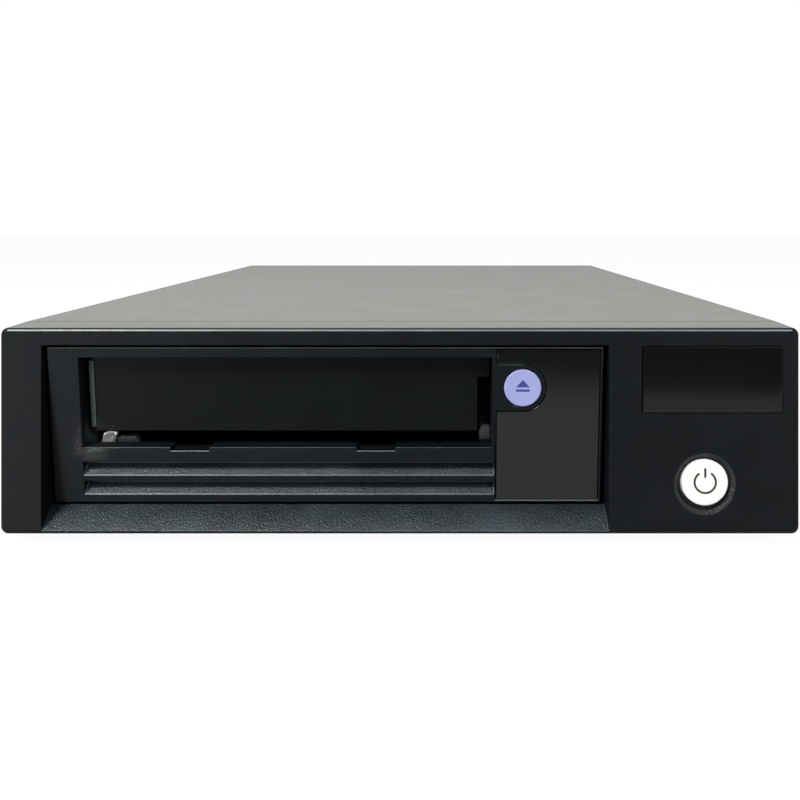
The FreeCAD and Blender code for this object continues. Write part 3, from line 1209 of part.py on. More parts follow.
def drive_bezel():
    solid = box(BEZEL_LEFT, BEZEL_RIGHT, BEZEL_FRONT, DRIVE_FRONT, BEZEL_BOTTOM, BEZEL_TOP)
    rim = [e for e in solid.Edges if e.CenterOfMass.y < BEZEL_FRONT + NEAR]
    solid = solid.makeFillet(BEZEL_RIM_R, rim)
    low = BEZEL_BOTTOM + BEZEL_WALL
    high = BEZEL_TOP - BEZEL_WALL
    left = BEZEL_LEFT + BEZEL_WALL
    right = BEZEL_RIGHT - BEZEL_WALL
    rear = DRIVE_FRONT + PAST
    under_mouth = box(left, MOUTH_RIGHT, BEZEL_FRONT + GROOVE_DEPTH + BEZEL_WALL, rear, low,
                      MOUTH_BOTTOM - BEZEL_WALL)
    beside_left = box(left, MOUTH_LEFT - BEZEL_WALL, BEZEL_FRONT + BEZEL_FACE, rear, MOUTH_BOTTOM, high)
    wall_back = BEZEL_FRONT + PANEL_THICK + EJECT_WALL
    beside_right = box(MOUTH_RIGHT + BEZEL_WALL, right, wall_back, rear, low, high)
    mouth = box(MOUTH_LEFT, MOUTH_RIGHT, BEZEL_FRONT - PAST, rear, MOUTH_BOTTOM, MOUTH_TOP)
    behind_sill = box(MOUTH_LEFT, MOUTH_RIGHT, BEZEL_FRONT + MOUTH_SILL, rear, low, MOUTH_BOTTOM + PAST)
    notches = [box(x - MOUTH_NOTCH_WIDTH / 2, x + MOUTH_NOTCH_WIDTH / 2, BEZEL_FRONT - PAST, rear,
                   MOUTH_BOTTOM - MOUTH_NOTCH_DEPTH, MOUTH_TOP) for x in MOUTH_NOTCHES]
    over_door = box(DOOR_LEFT - RUN_GAP, DOOR_RIGHT + RUN_GAP, DOOR_FRONT - RUN_GAP, rear,
                    MOUTH_TOP - PAST, BEZEL_TOP + PAST)
    bearings = rod(DOOR_LEFT - DOOR_PIN_LENGTH - PAST, DOOR_AXIS_Y, DOOR_AXIS_Z, DOOR_PIN_R + SHAFT_FIT,
                   DOOR_RIGHT - DOOR_LEFT + 2 * DOOR_PIN_LENGTH, RIGHT)
    spring_room = rod(left, DOOR_AXIS_Y, DOOR_AXIS_Z, SPRING_R + SPRING_WIRE,
                      MOUTH_LEFT - BEZEL_WALL - left, RIGHT)
    seat = panel_outline(BEZEL_FRONT - PAST, BEZEL_FRONT + PANEL_THICK, PANEL_GAP)
    eject = rod(KEY_X, BEZEL_FRONT - PAST, KEY_Z, EJECT_R + RUN_GAP, BEZEL_DEPTH, BACKWARD)
    lamps = [rod(x, BEZEL_FRONT, LED_Z, LED_R + RUN_GAP, BEZEL_DEPTH, BACKWARD) for x in LED_XS]
    solid = cut(solid, under_mouth, beside_left, beside_right, mouth, behind_sill, *notches,
                over_door, bearings, spring_room, seat, eject, *lamps)
    return cut(solid, *[groove(top) for top in GROOVE_TOPS])


def cartridge_door():
    """Flap hung from two stub pins at its top; its right end is stepped."""
    y0 = DOOR_FRONT
    y1 = DOOR_FRONT + DOOR_THICK
    plan = [(DOOR_LEFT, DOOR_BOTTOM), (DOOR_STEP_LEFT, DOOR_BOTTOM), (DOOR_STEP_LEFT, DOOR_STEP_Z),
            (DOOR_RIGHT, DOOR_STEP_Z), (DOOR_RIGHT, DOOR_AXIS_Z), (DOOR_LEFT, DOOR_AXIS_Z)]
    flap = plate_y(plan, y0, y1)
    side = [e for e in flap.Edges if e.CenterOfMass.y < y0 + NEAR and e.CenterOfMass.x < DOOR_LEFT + NEAR]
    flap = flap.makeFillet(DOOR_SIDE_R, side)
    lower = [e for e in flap.Edges if e.BoundBox.YMin < y0 + NEAR and e.BoundBox.ZMax < DOOR_BOTTOM + NEAR
             and e.BoundBox.XMax < DOOR_STEP_LEFT + NEAR and e.BoundBox.YLength < DOOR_SIDE_R + NEAR]
    flap = flap.makeFillet(DOOR_LOWER_R, lower)
    barrel = rod(DOOR_LEFT, DOOR_AXIS_Y, DOOR_AXIS_Z, DOOR_THICK, DOOR_RIGHT - DOOR_LEFT, RIGHT)
    pin = rod(DOOR_LEFT - DOOR_PIN_LENGTH, DOOR_AXIS_Y, DOOR_AXIS_Z, DOOR_PIN_R,
              DOOR_RIGHT - DOOR_LEFT + DOOR_PIN_LENGTH + DOOR_PIN_SHORT, RIGHT)
    return join(flap, barrel, pin)


def door_spring():
    """Torsion spring round the door's left pin, behind the bezel's cheek."""
    start = DOOR_LEFT - DOOR_PIN_LENGTH + RUN_GAP
    length = MOUTH_LEFT - BEZEL_WALL - RUN_GAP - start
    pitch = length / SPRING_TURNS
    helix = Part.makeHelix(pitch, length, SPRING_R)
    section = Part.Wire(Part.makeCircle(SPRING_WIRE / 2, Vector(SPRING_R, 0, 0), BACKWARD))
    coil = Part.Wire(helix.Edges).makePipeShell([section], True, True)
    coil.rotate(Vector(0, 0, 0), BACKWARD, 90)
    coil.translate(Vector(start, DOOR_AXIS_Y, DOOR_AXIS_Z))
    return coil


def eject_panel():
    return panel_outline(BEZEL_FRONT, BEZEL_FRONT + PANEL_THICK, 0)


def eject_button():
    cap = rod(KEY_X, BEZEL_FRONT - EJECT_PROUD, KEY_Z, EJECT_R, EJECT_REACH, BACKWARD)
    cap = cap.makeFillet(EJECT_EDGE_R, [e for e in cap.Edges if e.CenterOfMass.y < BEZEL_FRONT][:1])
    wall_back = BEZEL_FRONT + PANEL_THICK + EJECT_WALL
    flange = rod(KEY_X, wall_back + RUN_GAP, KEY_Z, EJECT_FLANGE_R, EJECT_FLANGE_THICK, BACKWARD)
    stem_end = EJECT_SWITCH_FRONT + EJECT_ENTER
    stem = rod(KEY_X, wall_back + RUN_GAP, KEY_Z, EJECT_STEM_R, stem_end - wall_back - RUN_GAP, BACKWARD)
    return join(cap, flange, stem)


def eject_switch():
    half = EJECT_SWITCH_HALF
    body = box(KEY_X - half, KEY_X + half, EJECT_SWITCH_FRONT, FRONT_BOARD_Y, KEY_Z - half, KEY_Z + half)
    bore = rod(KEY_X, EJECT_SWITCH_FRONT, KEY_Z, EJECT_STEM_R + SHAFT_FIT,
               EJECT_ENTER + EJECT_TRAVEL + RUN_GAP, BACKWARD)
    return cut(body, bore)


def front_board():
    """Upright board behind the smoked panel, held by two bars that reach the bezel's walls."""
    left = MOUTH_RIGHT + BEZEL_WALL + RUN_GAP
    right = BEZEL_RIGHT - BEZEL_WALL
    return box(left, right, FRONT_BOARD_Y, FRONT_BOARD_Y + BOARD, BEZEL_BOTTOM + BEZEL_WALL,
               KEY_Z + FRONT_BOARD_ABOVE)


def status_lamps():
    start = BEZEL_FRONT + PANEL_THICK + RUN_GAP
    return group([rod(x, start, LED_Z, LED_R, FRONT_BOARD_Y - start, BACKWARD) for x in LED_XS])


def guide_rib():
    """White rib that leans in under the cartridge's left edge, on the casting's sill."""
    foot = CARTRIDGE_LEFT - RIB_OUTSIDE
    top = CARTRIDGE_BOTTOM - RIB_GAP
    plan = [(foot, SILL_TOP), (foot + RIB_WIDTH, SILL_TOP), (foot + RIB_WIDTH + RIB_LEAN, top),
            (foot + RIB_LEAN, top)]
    rib = plate_y(plan, DRIVE_FRONT, DRIVE_FRONT + SILL_THICK)
    soft = [e for e in rib.Edges if e.BoundBox.ZMin > top - NEAR and e.BoundBox.XLength < NEAR]
    return rib.makeFillet(RIB_EDGE_R, soft)


def guide_post():
    """Grey post at the mouth's lower right, beside the cartridge's path."""
    x0 = CARTRIDGE_RIGHT + RUN_GAP
    shoulder = POST_TOP - POST_CHAMFER_Z
    plan = [(x0, SILL_TOP), (x0 + POST_WIDTH, SILL_TOP), (x0 + POST_WIDTH, POST_TOP),
            (x0 + POST_CHAMFER_X, POST_TOP), (x0, shoulder)]
    post = plate_y(plan, DRIVE_FRONT, DRIVE_FRONT + SILL_THICK)
    soft = [e for e in post.Edges if e.BoundBox.ZMin > shoulder - NEAR and e.BoundBox.XLength < NEAR
            and e.BoundBox.ZLength < NEAR]
    return post.makeFillet(POST_EDGE_R, soft)


def guide_stop():
    """Low grey block beside the rib, with drafted sides."""
    x0 = CARTRIDGE_LEFT + STOP_INSIDE
    x1 = x0 + STOP_WIDTH
    plan = [(x0, SILL_TOP), (x1, SILL_TOP), (x1 - STOP_DRAFT_RIGHT, STOP_RIGHT_TOP),
            (x0 + STOP_DRAFT_LEFT, STOP_LEFT_TOP)]
    return plate_y(plan, DRIVE_FRONT, DRIVE_FRONT + SILL_THICK)


# ---- drive module: body ----------------------------------------------------------------------
def casting_bosses():
    return [(x, y) for x in (CAST_LEFT + CASTING_BOSS_INSET, CAST_RIGHT - CASTING_BOSS_INSET)
            for y in (DRIVE_FRONT + CASTING_BOSS_FRONT, DRIVE_BACK - CASTING_BOSS_BACK)]


def drive_casting():
    """Die-cast base: side and back walls round a deck, a low sill at the front."""
    deck = box(CAST_LEFT, CAST_RIGHT, DRIVE_FRONT, DRIVE_BACK, DECK_TOP - DECK_THICK, DECK_TOP)
    left = box(CAST_LEFT, CAST_LEFT + CASTING_WALL, DRIVE_FRONT, DRIVE_BACK, CAST_BOTTOM, CAST_TOP)
    right = box(CAST_RIGHT - CASTING_WALL, CAST_RIGHT, DRIVE_FRONT, DRIVE_BACK, CAST_BOTTOM, CAST_TOP)
    back = box(CAST_LEFT, CAST_RIGHT, DRIVE_BACK - CASTING_WALL, DRIVE_BACK, CAST_BOTTOM, CAST_TOP)
    sill = box(CAST_LEFT, CAST_RIGHT, DRIVE_FRONT, DRIVE_FRONT + SILL_THICK, CAST_BOTTOM, SILL_TOP)
    board_top = BOARD_Z + BOARD
    bosses = [rod(x, y, board_top, BOSS_R, DECK_TOP - board_top) for x, y in casting_bosses()]
    solid = join(deck, left, right, back, sill, *bosses)
    plug_gap = box(PLUG_X - PLUG_WIDTH / 2, PLUG_X + PLUG_WIDTH / 2, DRIVE_BACK - CASTING_WALL - PAST,
                   DRIVE_BACK + PAST, DECK_TOP, DECK_TOP + PLUG_HEIGHT)
    holes = [screw_hole(x, y, board_top, UP * -1, BOARD_SCREW + THREAD_END) for x, y in casting_bosses()]
    holes += [screw_hole(x, y, SIDE_SCREW_Z, direction, CASTING_WALL + PAST)
              for x, y, direction in side_screw_spots()]
    return cut(solid, plug_gap, *holes)


def side_screw_spots():
    """Where the brackets' screws enter the casting's sides."""
    spots = []
    for y in BRACKET_SCREW_YS:
        spots.append((CAST_LEFT, y, RIGHT * -1))
        spots.append((CAST_RIGHT, y, RIGHT))
    return spots


def drive_bottom_cover():
    return box(CAST_LEFT, CAST_RIGHT, DRIVE_FRONT, DRIVE_BACK, DRIVE_BOTTOM, CAST_BOTTOM)


def drive_top_cover():
    lid = box(DRIVE_LEFT, DRIVE_RIGHT, DRIVE_FRONT, DRIVE_BACK, CAST_TOP, DRIVE_TOP)
    flanges = [box(x, x + DRIVE_SHEET, DRIVE_FRONT, DRIVE_BACK, DRIVE_TOP - LID_FLANGE, DRIVE_TOP)
               for x in (DRIVE_LEFT, DRIVE_RIGHT - DRIVE_SHEET)]
    return join(lid, *flanges)


def drive_brackets():
    """Angle of sheet steel on each side of the drive, standing on the chassis."""
    brackets = []
    for face, side in ((CAST_LEFT, -1), (CAST_RIGHT, 1)):
        outer = face + side * BRACKET_SHEET
        foot = face + side * BRACKET_FOOT
        upright = box(min(face, outer), max(face, outer), BRACKET_FRONT, BRACKET_BACK, FLOOR_TOP, BRACKET_TOP)
        ledge = box(min(face, foot), max(face, foot), BRACKET_FRONT, BRACKET_BACK, FLOOR_TOP,
                    FLOOR_TOP + BRACKET_SHEET)
        holes = [screw_hole(outer, y, SIDE_SCREW_Z, RIGHT * side, BRACKET_SHEET) for y in BRACKET_SCREW_YS]
        brackets.append(cut(join(upright, ledge), *holes))
    return group(brackets)


def bracket_screws():
    screws = []
    for x, y, direction in side_screw_spots():
        head = x + direction.x * BRACKET_SHEET
        screws.append(screw(head, y, SIDE_SCREW_Z, direction, BRACKET_SHEET + CASTING_WALL))
    return group(screws)


def main_board():
    margin = CASTING_WALL + BOARD_MARGIN
    board = box(CAST_LEFT + margin, CAST_RIGHT - margin, DRIVE_FRONT + BOARD_SETBACK, DRIVE_BACK - margin,
                BOARD_Z, BOARD_Z + BOARD)
    holes = [screw_hole(x, y, BOARD_Z, UP * -1, BOARD) for x, y in casting_bosses()]
    return cut(board, *holes)


def board_screws():
    head = BOARD_Z - CAST_BOTTOM - RUN_GAP
    return group([screw(x, y, BOARD_Z, UP * -1, BOARD + BOARD_SCREW, head=head) for x, y in casting_bosses()])


def board_chips():
    low = CAST_BOTTOM + RUN_GAP
    return group([box(x - w / 2, x + w / 2, y - w / 2, y + w / 2, low, BOARD_Z) for x, y, w in CHIPS])


def drive_receptacle():
    return box(PLUG_X - PLUG_WIDTH / 2, PLUG_X + PLUG_WIDTH / 2, DRIVE_BACK - PLUG_DEPTH, DRIVE_BACK,
               DECK_TOP, DECK_TOP + PLUG_HEIGHT)


def cable_plug():
    half = PLUG_WIDTH / 2 - PLUG_INSET
    return rounded_box(PLUG_X - half, PLUG_X + half, DRIVE_BACK, DRIVE_BACK + PLUG_DEPTH, DECK_TOP + PLUG_SHY,
                       DECK_TOP + PLUG_HEIGHT - PLUG_SHY, PLUG_CORNER_R, BACKWARD)


# ---- loader ----------------------------------------------------------------------------------
def cartridge_tray():
    """Channel that carries the cartridge down onto the chuck; its pins ride in the cam slots."""
    floor = box(TRAY_LEFT, TRAY_RIGHT, TRAY_FRONT, TRAY_BACK, TRAY_BOTTOM, TRAY_BOTTOM + TRAY_FLOOR)
    top = TRAY_BOTTOM + TRAY_HEIGHT
    left = box(TRAY_LEFT, TRAY_INNER_LEFT, TRAY_FRONT, TRAY_BACK, TRAY_BOTTOM, top)
    right = box(TRAY_INNER_RIGHT, TRAY_RIGHT, TRAY_FRONT, TRAY_BACK, TRAY_BOTTOM, top)
    lip = box(TRAY_LEFT, CARTRIDGE_X + CARTRIDGE_WIDTH / 4, TRAY_BACK - TRAY_WALL, TRAY_BACK, TRAY_BOTTOM,
              TRAY_BOTTOM + TRAY_LIP)
    reach = SLIDER_GAP + SLIDER_PLATE + TRAY_PIN_SHY
    pins = []
    for y in TRAY_PIN_YS:
        pins.append(rod(TRAY_LEFT - reach, y, TRAY_PIN_Z, TRAY_PIN_R, reach + TRAY_WALL, RIGHT))
        pins.append(rod(TRAY_INNER_RIGHT, y, TRAY_PIN_Z, TRAY_PIN_R, reach + TRAY_WALL, RIGHT))
    chuck_hole = rod(CARTRIDGE_X, CHUCK_Y, TRAY_BOTTOM - PAST, CHUCK_HOLE_R, TRAY_FLOOR + 2)
    return cut(join(floor, left, right, lip, *pins), chuck_hole)


def slanted_slot(x0, x1, y, z):
    """Cam slot: it lets a pin at (y, z) down by the tray's drop while the slider travels."""
    r = TRAY_PIN_R + RUN_GAP
    run = Vector(0, -SLIDER_TRAVEL, -TRAY_DROP)
    side = Vector(0, TRAY_DROP, -SLIDER_TRAVEL).normalize() * r
    start = Vector(x0, y, z)
    corners = [start + side, start + run + side, start + run - side, start - side]
    straight = outline(corners, Vector(x1 - x0, 0, 0))
    ends = [Part.makeCylinder(r, x1 - x0, point, RIGHT) for point in (start, start + run)]
    return join(straight, *ends)


def cam_slider():
    """Two cam plates joined by a crossbar under the tray, with a rack on the right plate."""
    plates = [box(x, x + SLIDER_PLATE, SLIDER_FRONT, SLIDER_BACK, SLIDER_BOTTOM, SLIDER_TOP)
              for x in (SLIDER_LEFT - SLIDER_PLATE, SLIDER_RIGHT)]
    low = DECK_TOP + RUN_GAP
    bar_back = SLIDER_FRONT + SLIDER_BAR_WIDTH
    bar = box(SLIDER_LEFT - SLIDER_PLATE, SLIDER_RIGHT + SLIDER_PLATE, SLIDER_FRONT, bar_back, low,
              low + SLIDER_BAR_HEIGHT)
    legs = [box(x, x + SLIDER_PLATE, SLIDER_FRONT, bar_back, low, SLIDER_BOTTOM)
            for x in (SLIDER_LEFT - SLIDER_PLATE, SLIDER_RIGHT)]
    pitch = math.pi * RACK_MODULE
    ahead = math.ceil(SLIDER_TRAVEL / pitch) + RACK_SPARE_TEETH
    tip = RACK_PITCH_X + TOOTH_TIP * RACK_MODULE
    points = [(RACK_ROOT - RACK_BITE, PINION_Y - (ahead + 0.5) * pitch)]
    for k in range(-ahead, RACK_SPARE_TEETH + 1):
        y = PINION_Y + k * pitch
        low_half = tooth_half(RACK_MODULE, RACK_ROOT + RACK_BITE - RACK_PITCH_X)
        tip_half = tooth_half(RACK_MODULE, TOOTH_TIP * RACK_MODULE)
        points += [(RACK_ROOT + RACK_BITE, y - low_half), (tip, y - tip_half), (tip, y + tip_half),
                   (RACK_ROOT + RACK_BITE, y + low_half)]
    points.append((RACK_ROOT - RACK_BITE, PINION_Y + (RACK_SPARE_TEETH + 0.5) * pitch))
    rack = plate_z(points, SLIDER_BOTTOM, SLIDER_BOTTOM + RACK_HEIGHT)
    slots = [slanted_slot(x - 1, x + SLIDER_PLATE + PAST, y, TRAY_PIN_Z)
             for x in (SLIDER_LEFT - SLIDER_PLATE, SLIDER_RIGHT) for y in TRAY_PIN_YS]
    return cut(join(*plates, bar, *legs, rack), *slots)


def tray_guides():
    """Posts on the deck that keep the tray from moving forwards or back."""
    left = SLIDER_LEFT + RUN_GAP
    right = SLIDER_RIGHT - RUN_GAP - POST
    front = TRAY_FRONT - RUN_GAP - POST
    back = TRAY_BACK + RUN_GAP
    posts = [box(x, x + POST, front, front + POST, DECK_TOP, POST_TOP_FRONT) for x in (left, right)]
    posts += [box(x, x + POST, back, back + POST, DECK_TOP, POST_TOP_BACK)
              for x in (TRAY_LEFT + POST_INSET, TRAY_RIGHT - POST_INSET - POST)]
    return group(posts)


def loader_gear():
    """Compound gear: the wheel meets the motor's pinion, the pinion above it meets the rack."""
    tooth = 360.0 / WHEEL_TEETH
    top = WHEEL_BOTTOM + WHEEL_THICK
    wheel = gear(PINION_X, PINION_Y, WHEEL_BOTTOM, top, WHEEL_TEETH, WHEEL_MODULE, MOTOR_DIRECTION_DEG % tooth)
    pinion = gear(PINION_X, PINION_Y, top, BRACKET_Z - PINION_UNDER, PINION_TEETH, RACK_MODULE,
                  180.0 - 180.0 / PINION_TEETH)
    bore = rod(PINION_X, PINION_Y, DECK_TOP, GEAR_PIN_R + SHAFT_FIT, BRACKET_Z - DECK_TOP)
    return cut(join(wheel, pinion), bore)


def loader_gear_pin():
    seat = rod(PINION_X, PINION_Y, DECK_TOP, GEAR_PIN_R + GEAR_PIN_SEAT, WHEEL_BOTTOM - DECK_TOP - RUN_GAP)
    return join(seat, rod(PINION_X, PINION_Y, DECK_TOP, GEAR_PIN_R, BRACKET_Z - DECK_TOP))


def motor_pinion():
    turn = MOTOR_DIRECTION_DEG + 180.0 + 180.0 / MOTOR_TEETH
    teeth = gear(MOTOR_X, MOTOR_Y, WHEEL_BOTTOM, WHEEL_BOTTOM + WHEEL_THICK, MOTOR_TEETH, WHEEL_MODULE, turn)
    shaft_top = BRACKET_Z + BRACKET + MOTOR_SHAFT_INSIDE
    shaft = rod(MOTOR_X, MOTOR_Y, WHEEL_BOTTOM, MOTOR_SHAFT_R, shaft_top - WHEEL_BOTTOM)
    return join(teeth, shaft)


def loader_motor():
    base = BRACKET_Z + BRACKET
    can = rod(MOTOR_X, MOTOR_Y, base, MOTOR_R, MOTOR_LENGTH)
    top = [e for e in can.Edges if e.CenterOfMass.z > base + MOTOR_LENGTH - NEAR]
    can = can.makeFillet(MOTOR_EDGE_R, top)
    return cut(can, rod(MOTOR_X, MOTOR_Y, base - PAST, MOTOR_SHAFT_R + SHAFT_FIT, MOTOR_BORE + PAST))


def motor_bracket():
    wall = CAST_RIGHT - CASTING_WALL
    y0 = MOTOR_Y - MOTOR_R - BRACKET_EDGE
    y1 = MOTOR_Y + MOTOR_R + BRACKET_LEG_GAP
    shelf = box(MOTOR_X - MOTOR_R - BRACKET_EDGE, wall, y0, y1, BRACKET_Z, BRACKET_Z + BRACKET)
    leg = box(MOTOR_X - MOTOR_R - BRACKET_EDGE, wall, y1 - BRACKET, y1, DECK_TOP, BRACKET_Z + BRACKET)
    hole = rod(MOTOR_X, MOTOR_Y, BRACKET_Z - PAST, MOTOR_SHAFT_R + BRACKET_EDGE, BRACKET + 2 * PAST)
    return cut(join(shelf, leg), hole)


# ---- tape path -------------------------------------------------------------------------------
def stator(x, y):
    """Flat motor on the deck with coils round a bearing for the spindle."""
    plate = rod(x, y, DECK_TOP, STATOR_R, STATOR_PLATE)
    coils = []
    for i in range(STATOR_COILS):
        coil = box(x + COIL_START, x + STATOR_R - COIL_END, y - COIL_WIDTH / 2, y + COIL_WIDTH / 2,
                   DECK_TOP, STATOR_TOP)
        coil.rotate(Vector(x, y, 0), UP, 360.0 / STATOR_COILS * i)
        coils.append(coil)
    hub = rod(x, y, DECK_TOP, SPINDLE_R + STATOR_HUB, STATOR_TOP - DECK_TOP)
    bore = rod(x, y, DECK_TOP, SPINDLE_R + SHAFT_FIT, STATOR_TOP - DECK_TOP)
    return cut(join(plate, hub, *coils), bore)


def rotor_disc(x, y):
    """What turns on each flat motor: a disc and its spindle."""
    low = STATOR_TOP + RUN_GAP
    disc = rod(x, y, low, CHUCK_R, CHUCK_DISC)
    return join(disc, rod(x, y, DECK_TOP + RUN_GAP, SPINDLE_R, low - DECK_TOP))


def supply_motor():
    return stator(CARTRIDGE_X, CHUCK_Y)


def supply_chuck():
    """Turns the cartridge's own reel: a ring of face teeth round a magnet."""
    x, y = CARTRIDGE_X, CHUCK_Y
    disc_top = STATOR_TOP + RUN_GAP + CHUCK_DISC
    hub_top = CHUCK_TOP - CHUCK_TOOTH_TALL
    hub = rod(x, y, disc_top, CHUCK_HUB_R, hub_top - disc_top)
    magnet = rod(x, y, disc_top, CHUCK_HUB_R / 2, CHUCK_TOP - MAGNET_UNDER - disc_top)
    teeth = []
    for i in range(CHUCK_TEETH):
        outer = x + CHUCK_HUB_R - CHUCK_TOOTH_INSET
        tooth = box(outer - CHUCK_TOOTH_LENGTH, outer, y - CHUCK_TOOTH_WIDTH / 2, y + CHUCK_TOOTH_WIDTH / 2,
                    disc_top, CHUCK_TOP)
        tooth.rotate(Vector(x, y, 0), UP, 360.0 / CHUCK_TEETH * i)
        teeth.append(tooth)
    return join(rotor_disc(x, y), hub, magnet, *teeth)


def take_up_motor():
    return stator(REEL_X, REEL_Y)


def take_up_reel():
    x, y = REEL_X, REEL_Y
    disc_top = STATOR_TOP + RUN_GAP + CHUCK_DISC
    low = REEL_LOW - REEL_FLANGE
    neck = rod(x, y, disc_top, CHUCK_HUB_R, low - disc_top)
    flanges = [rod(x, y, z, REEL_FLANGE_R, REEL_FLANGE) for z in (low, REEL_HIGH)]
    hub = rod(x, y, low, REEL_HUB_R, REEL_HIGH - low)
    windows = []
    for i in range(REEL_WINDOWS):
        window = rod(x + (REEL_HUB_R + REEL_FLANGE_R) / 2, y, REEL_HIGH - PAST, REEL_WINDOW_R, REEL_FLANGE + 2 * PAST)
        window.rotate(Vector(x, y, 0), UP, 360.0 / REEL_WINDOWS * (i + 0.5))
        windows.append(window)
    open_top = REEL_HIGH + REEL_FLANGE + PAST
    pocket = rod(x, y, REEL_HIGH - REEL_POCKET, REEL_HUB_R - REEL_HUB_WALL, open_top - REEL_HIGH + REEL_POCKET)
    slot = box(x, x + REEL_HUB_R + PAST, y - REEL_SLOT / 2, y + REEL_SLOT / 2, REEL_LOW + REEL_FLANGE, open_top)
    return cut(join(rotor_disc(x, y), neck, hub, *flanges), pocket, slot, *windows)


def guide_roller(x, y):
    half = TAPE_WIDTH / 2 + TAPE_GAP
    barrel = rod(x, y, TAPE_Z - half, ROLLER_R, 2 * half)
    flanges = [rod(x, y, z, ROLLER_FLANGE_R, ROLLER_FLANGE) for z in (TAPE_Z - half - ROLLER_FLANGE, TAPE_Z + half)]
    bore = rod(x, y, DECK_TOP, ROLLER_PIN_R + SHAFT_FIT, TRACK_Z - DECK_TOP)
    return cut(join(barrel, *flanges), bore)


def roller_pins():
    """One pin for each guide roller, shouldered under it; the track rests on their tops."""
    shoulder = TAPE_Z - TAPE_WIDTH / 2 - TAPE_GAP - ROLLER_FLANGE - RUN_GAP
    pins = []
    for x, y in ROLLERS:
        pins.append(join(rod(x, y, DECK_TOP, ROLLER_PIN_R, TRACK_Z - DECK_TOP),
                         rod(x, y, DECK_TOP, 2 * ROLLER_PIN_R, shoulder - DECK_TOP)))
    return group(pins)


def threading_track():
    """Strip over the rollers that leads the threading block from the cartridge to the reel."""
    path = [TRACK_START] + list(ROLLERS)
    pieces = [rod(x, y, TRACK_Z, TRACK_WIDTH / 2, TRACK_THICK) for x, y in path]
    for (xa, ya), (xb, yb) in zip(path, path[1:]):
        length = math.hypot(xb - xa, yb - ya)
        strip = box(0, length, -TRACK_WIDTH / 2, TRACK_WIDTH / 2, TRACK_Z, TRACK_Z + TRACK_THICK)
        strip.rotate(Vector(0, 0, 0), UP, math.degrees(math.atan2(yb - ya, xb - xa)))
        strip.translate(Vector(xa, ya, 0))
        pieces.append(strip)
    return join(*pieces)


def threading_block():
    """Catch for the tape's leader pin, parked beside the cartridge under the track's start."""
    x, y = TRACK_START
    half = TAPE_WIDTH / 2
    body = box(x - BLOCK_HALF, x + BLOCK_HALF, y - BLOCK_HALF, y + BLOCK_BACK, TAPE_Z - half, TRACK_Z)
    bite = box(x - BLOCK_BITE, x + BLOCK_HALF + PAST, y - BLOCK_HALF - PAST, y, TAPE_Z - half + BLOCK_WALL,
               TAPE_Z + half - BLOCK_WALL)
    return cut(body, bite)


def head_posts():
    return [(HEAD_BACK + CARRIAGE_THICK / 2, HEAD_Y + side * GUIDE_POST_SPREAD) for side in (-1, 1)]


def head_carriage():
    half = HEAD_LENGTH / 2 + CARRIAGE_OVER
    block = box(HEAD_BACK, CARRIAGE_BACK, HEAD_Y - half, HEAD_Y + half, TAPE_Z - CARRIAGE_TALL / 2,
                TAPE_Z + CARRIAGE_TALL / 2)
    tall = GUIDE_POST_TOP - DECK_TOP
    bores = [rod(x, y, DECK_TOP, GUIDE_POST_R + SHAFT_FIT, tall) for x, y in head_posts()]
    nut = rod(HEAD_BACK + CARRIAGE_THICK / 2, HEAD_Y, DECK_TOP, LEAD_SCREW_R + SHAFT_FIT, tall)
    return cut(block, nut, *bores)


def tape_head():
    """Head block with two rounded lands that the tape runs over."""
    half = HEAD_LENGTH / 2
    low = TAPE_Z - HEAD_TALL / 2
    block = box(HEAD_X + HEAD_LAND_PROUD, HEAD_BACK, HEAD_Y - half, HEAD_Y + half, low, low + HEAD_TALL)
    lands = [rod(HEAD_X + HEAD_LAND_R, HEAD_Y + side * half / 2, low, HEAD_LAND_R, HEAD_TALL) for side in (-1, 1)]
    clip = box(HEAD_X - PAST, HEAD_BACK, HEAD_Y - half, HEAD_Y + half, low, low + HEAD_TALL)
    return join(block, *lands).common(clip)


def head_guide_posts():
    posts = [rod(x, y, DECK_TOP, GUIDE_POST_R, GUIDE_POST_TOP - DECK_TOP) for x, y in head_posts()]
    wall = CAST_RIGHT - CASTING_WALL
    reach = GUIDE_POST_SPREAD + BRIDGE_OVER
    bridge = box(HEAD_BACK, wall, HEAD_Y - reach, HEAD_Y + reach, GUIDE_POST_TOP, GUIDE_POST_TOP + BRIDGE_THICK)
    return group([join(bridge, *posts)])


def head_screw():
    x = HEAD_BACK + CARRIAGE_THICK / 2
    low = DECK_TOP + RUN_GAP
    return rod(x, HEAD_Y, low, LEAD_SCREW_R, GUIDE_POST_TOP - RUN_GAP - low)


def head_motor():
    x = HEAD_BACK + CARRIAGE_THICK / 2
    return ring(x, HEAD_Y, DECK_TOP, HEAD_MOTOR_R, LEAD_SCREW_R + SHAFT_FIT, HEAD_MOTOR_HEIGHT)


# ---- cables ----------------------------------------------------------------------------------
def data_cables():
    """From the drive's plug to the two rear ports."""
    z = DECK_TOP + PLUG_HEIGHT / 2
    start = DRIVE_BACK + PLUG_DEPTH
    end = COVER_BACK - PORT_DEPTH
    cables = []
    for offset, port_x in zip(DATA_CABLE_OFFSETS, PORT_XS):
        x = PLUG_X + offset
        points = [(x, start, z), (x, start + CABLE_RUN, z), (port_x, end - DATA_CABLE_END, PORT_Z),
                  (port_x, end, PORT_Z)]
        cables.append(cable(points, CABLE_R, BEND_DIAMETERS * 2 * CABLE_R))
    return group(cables)


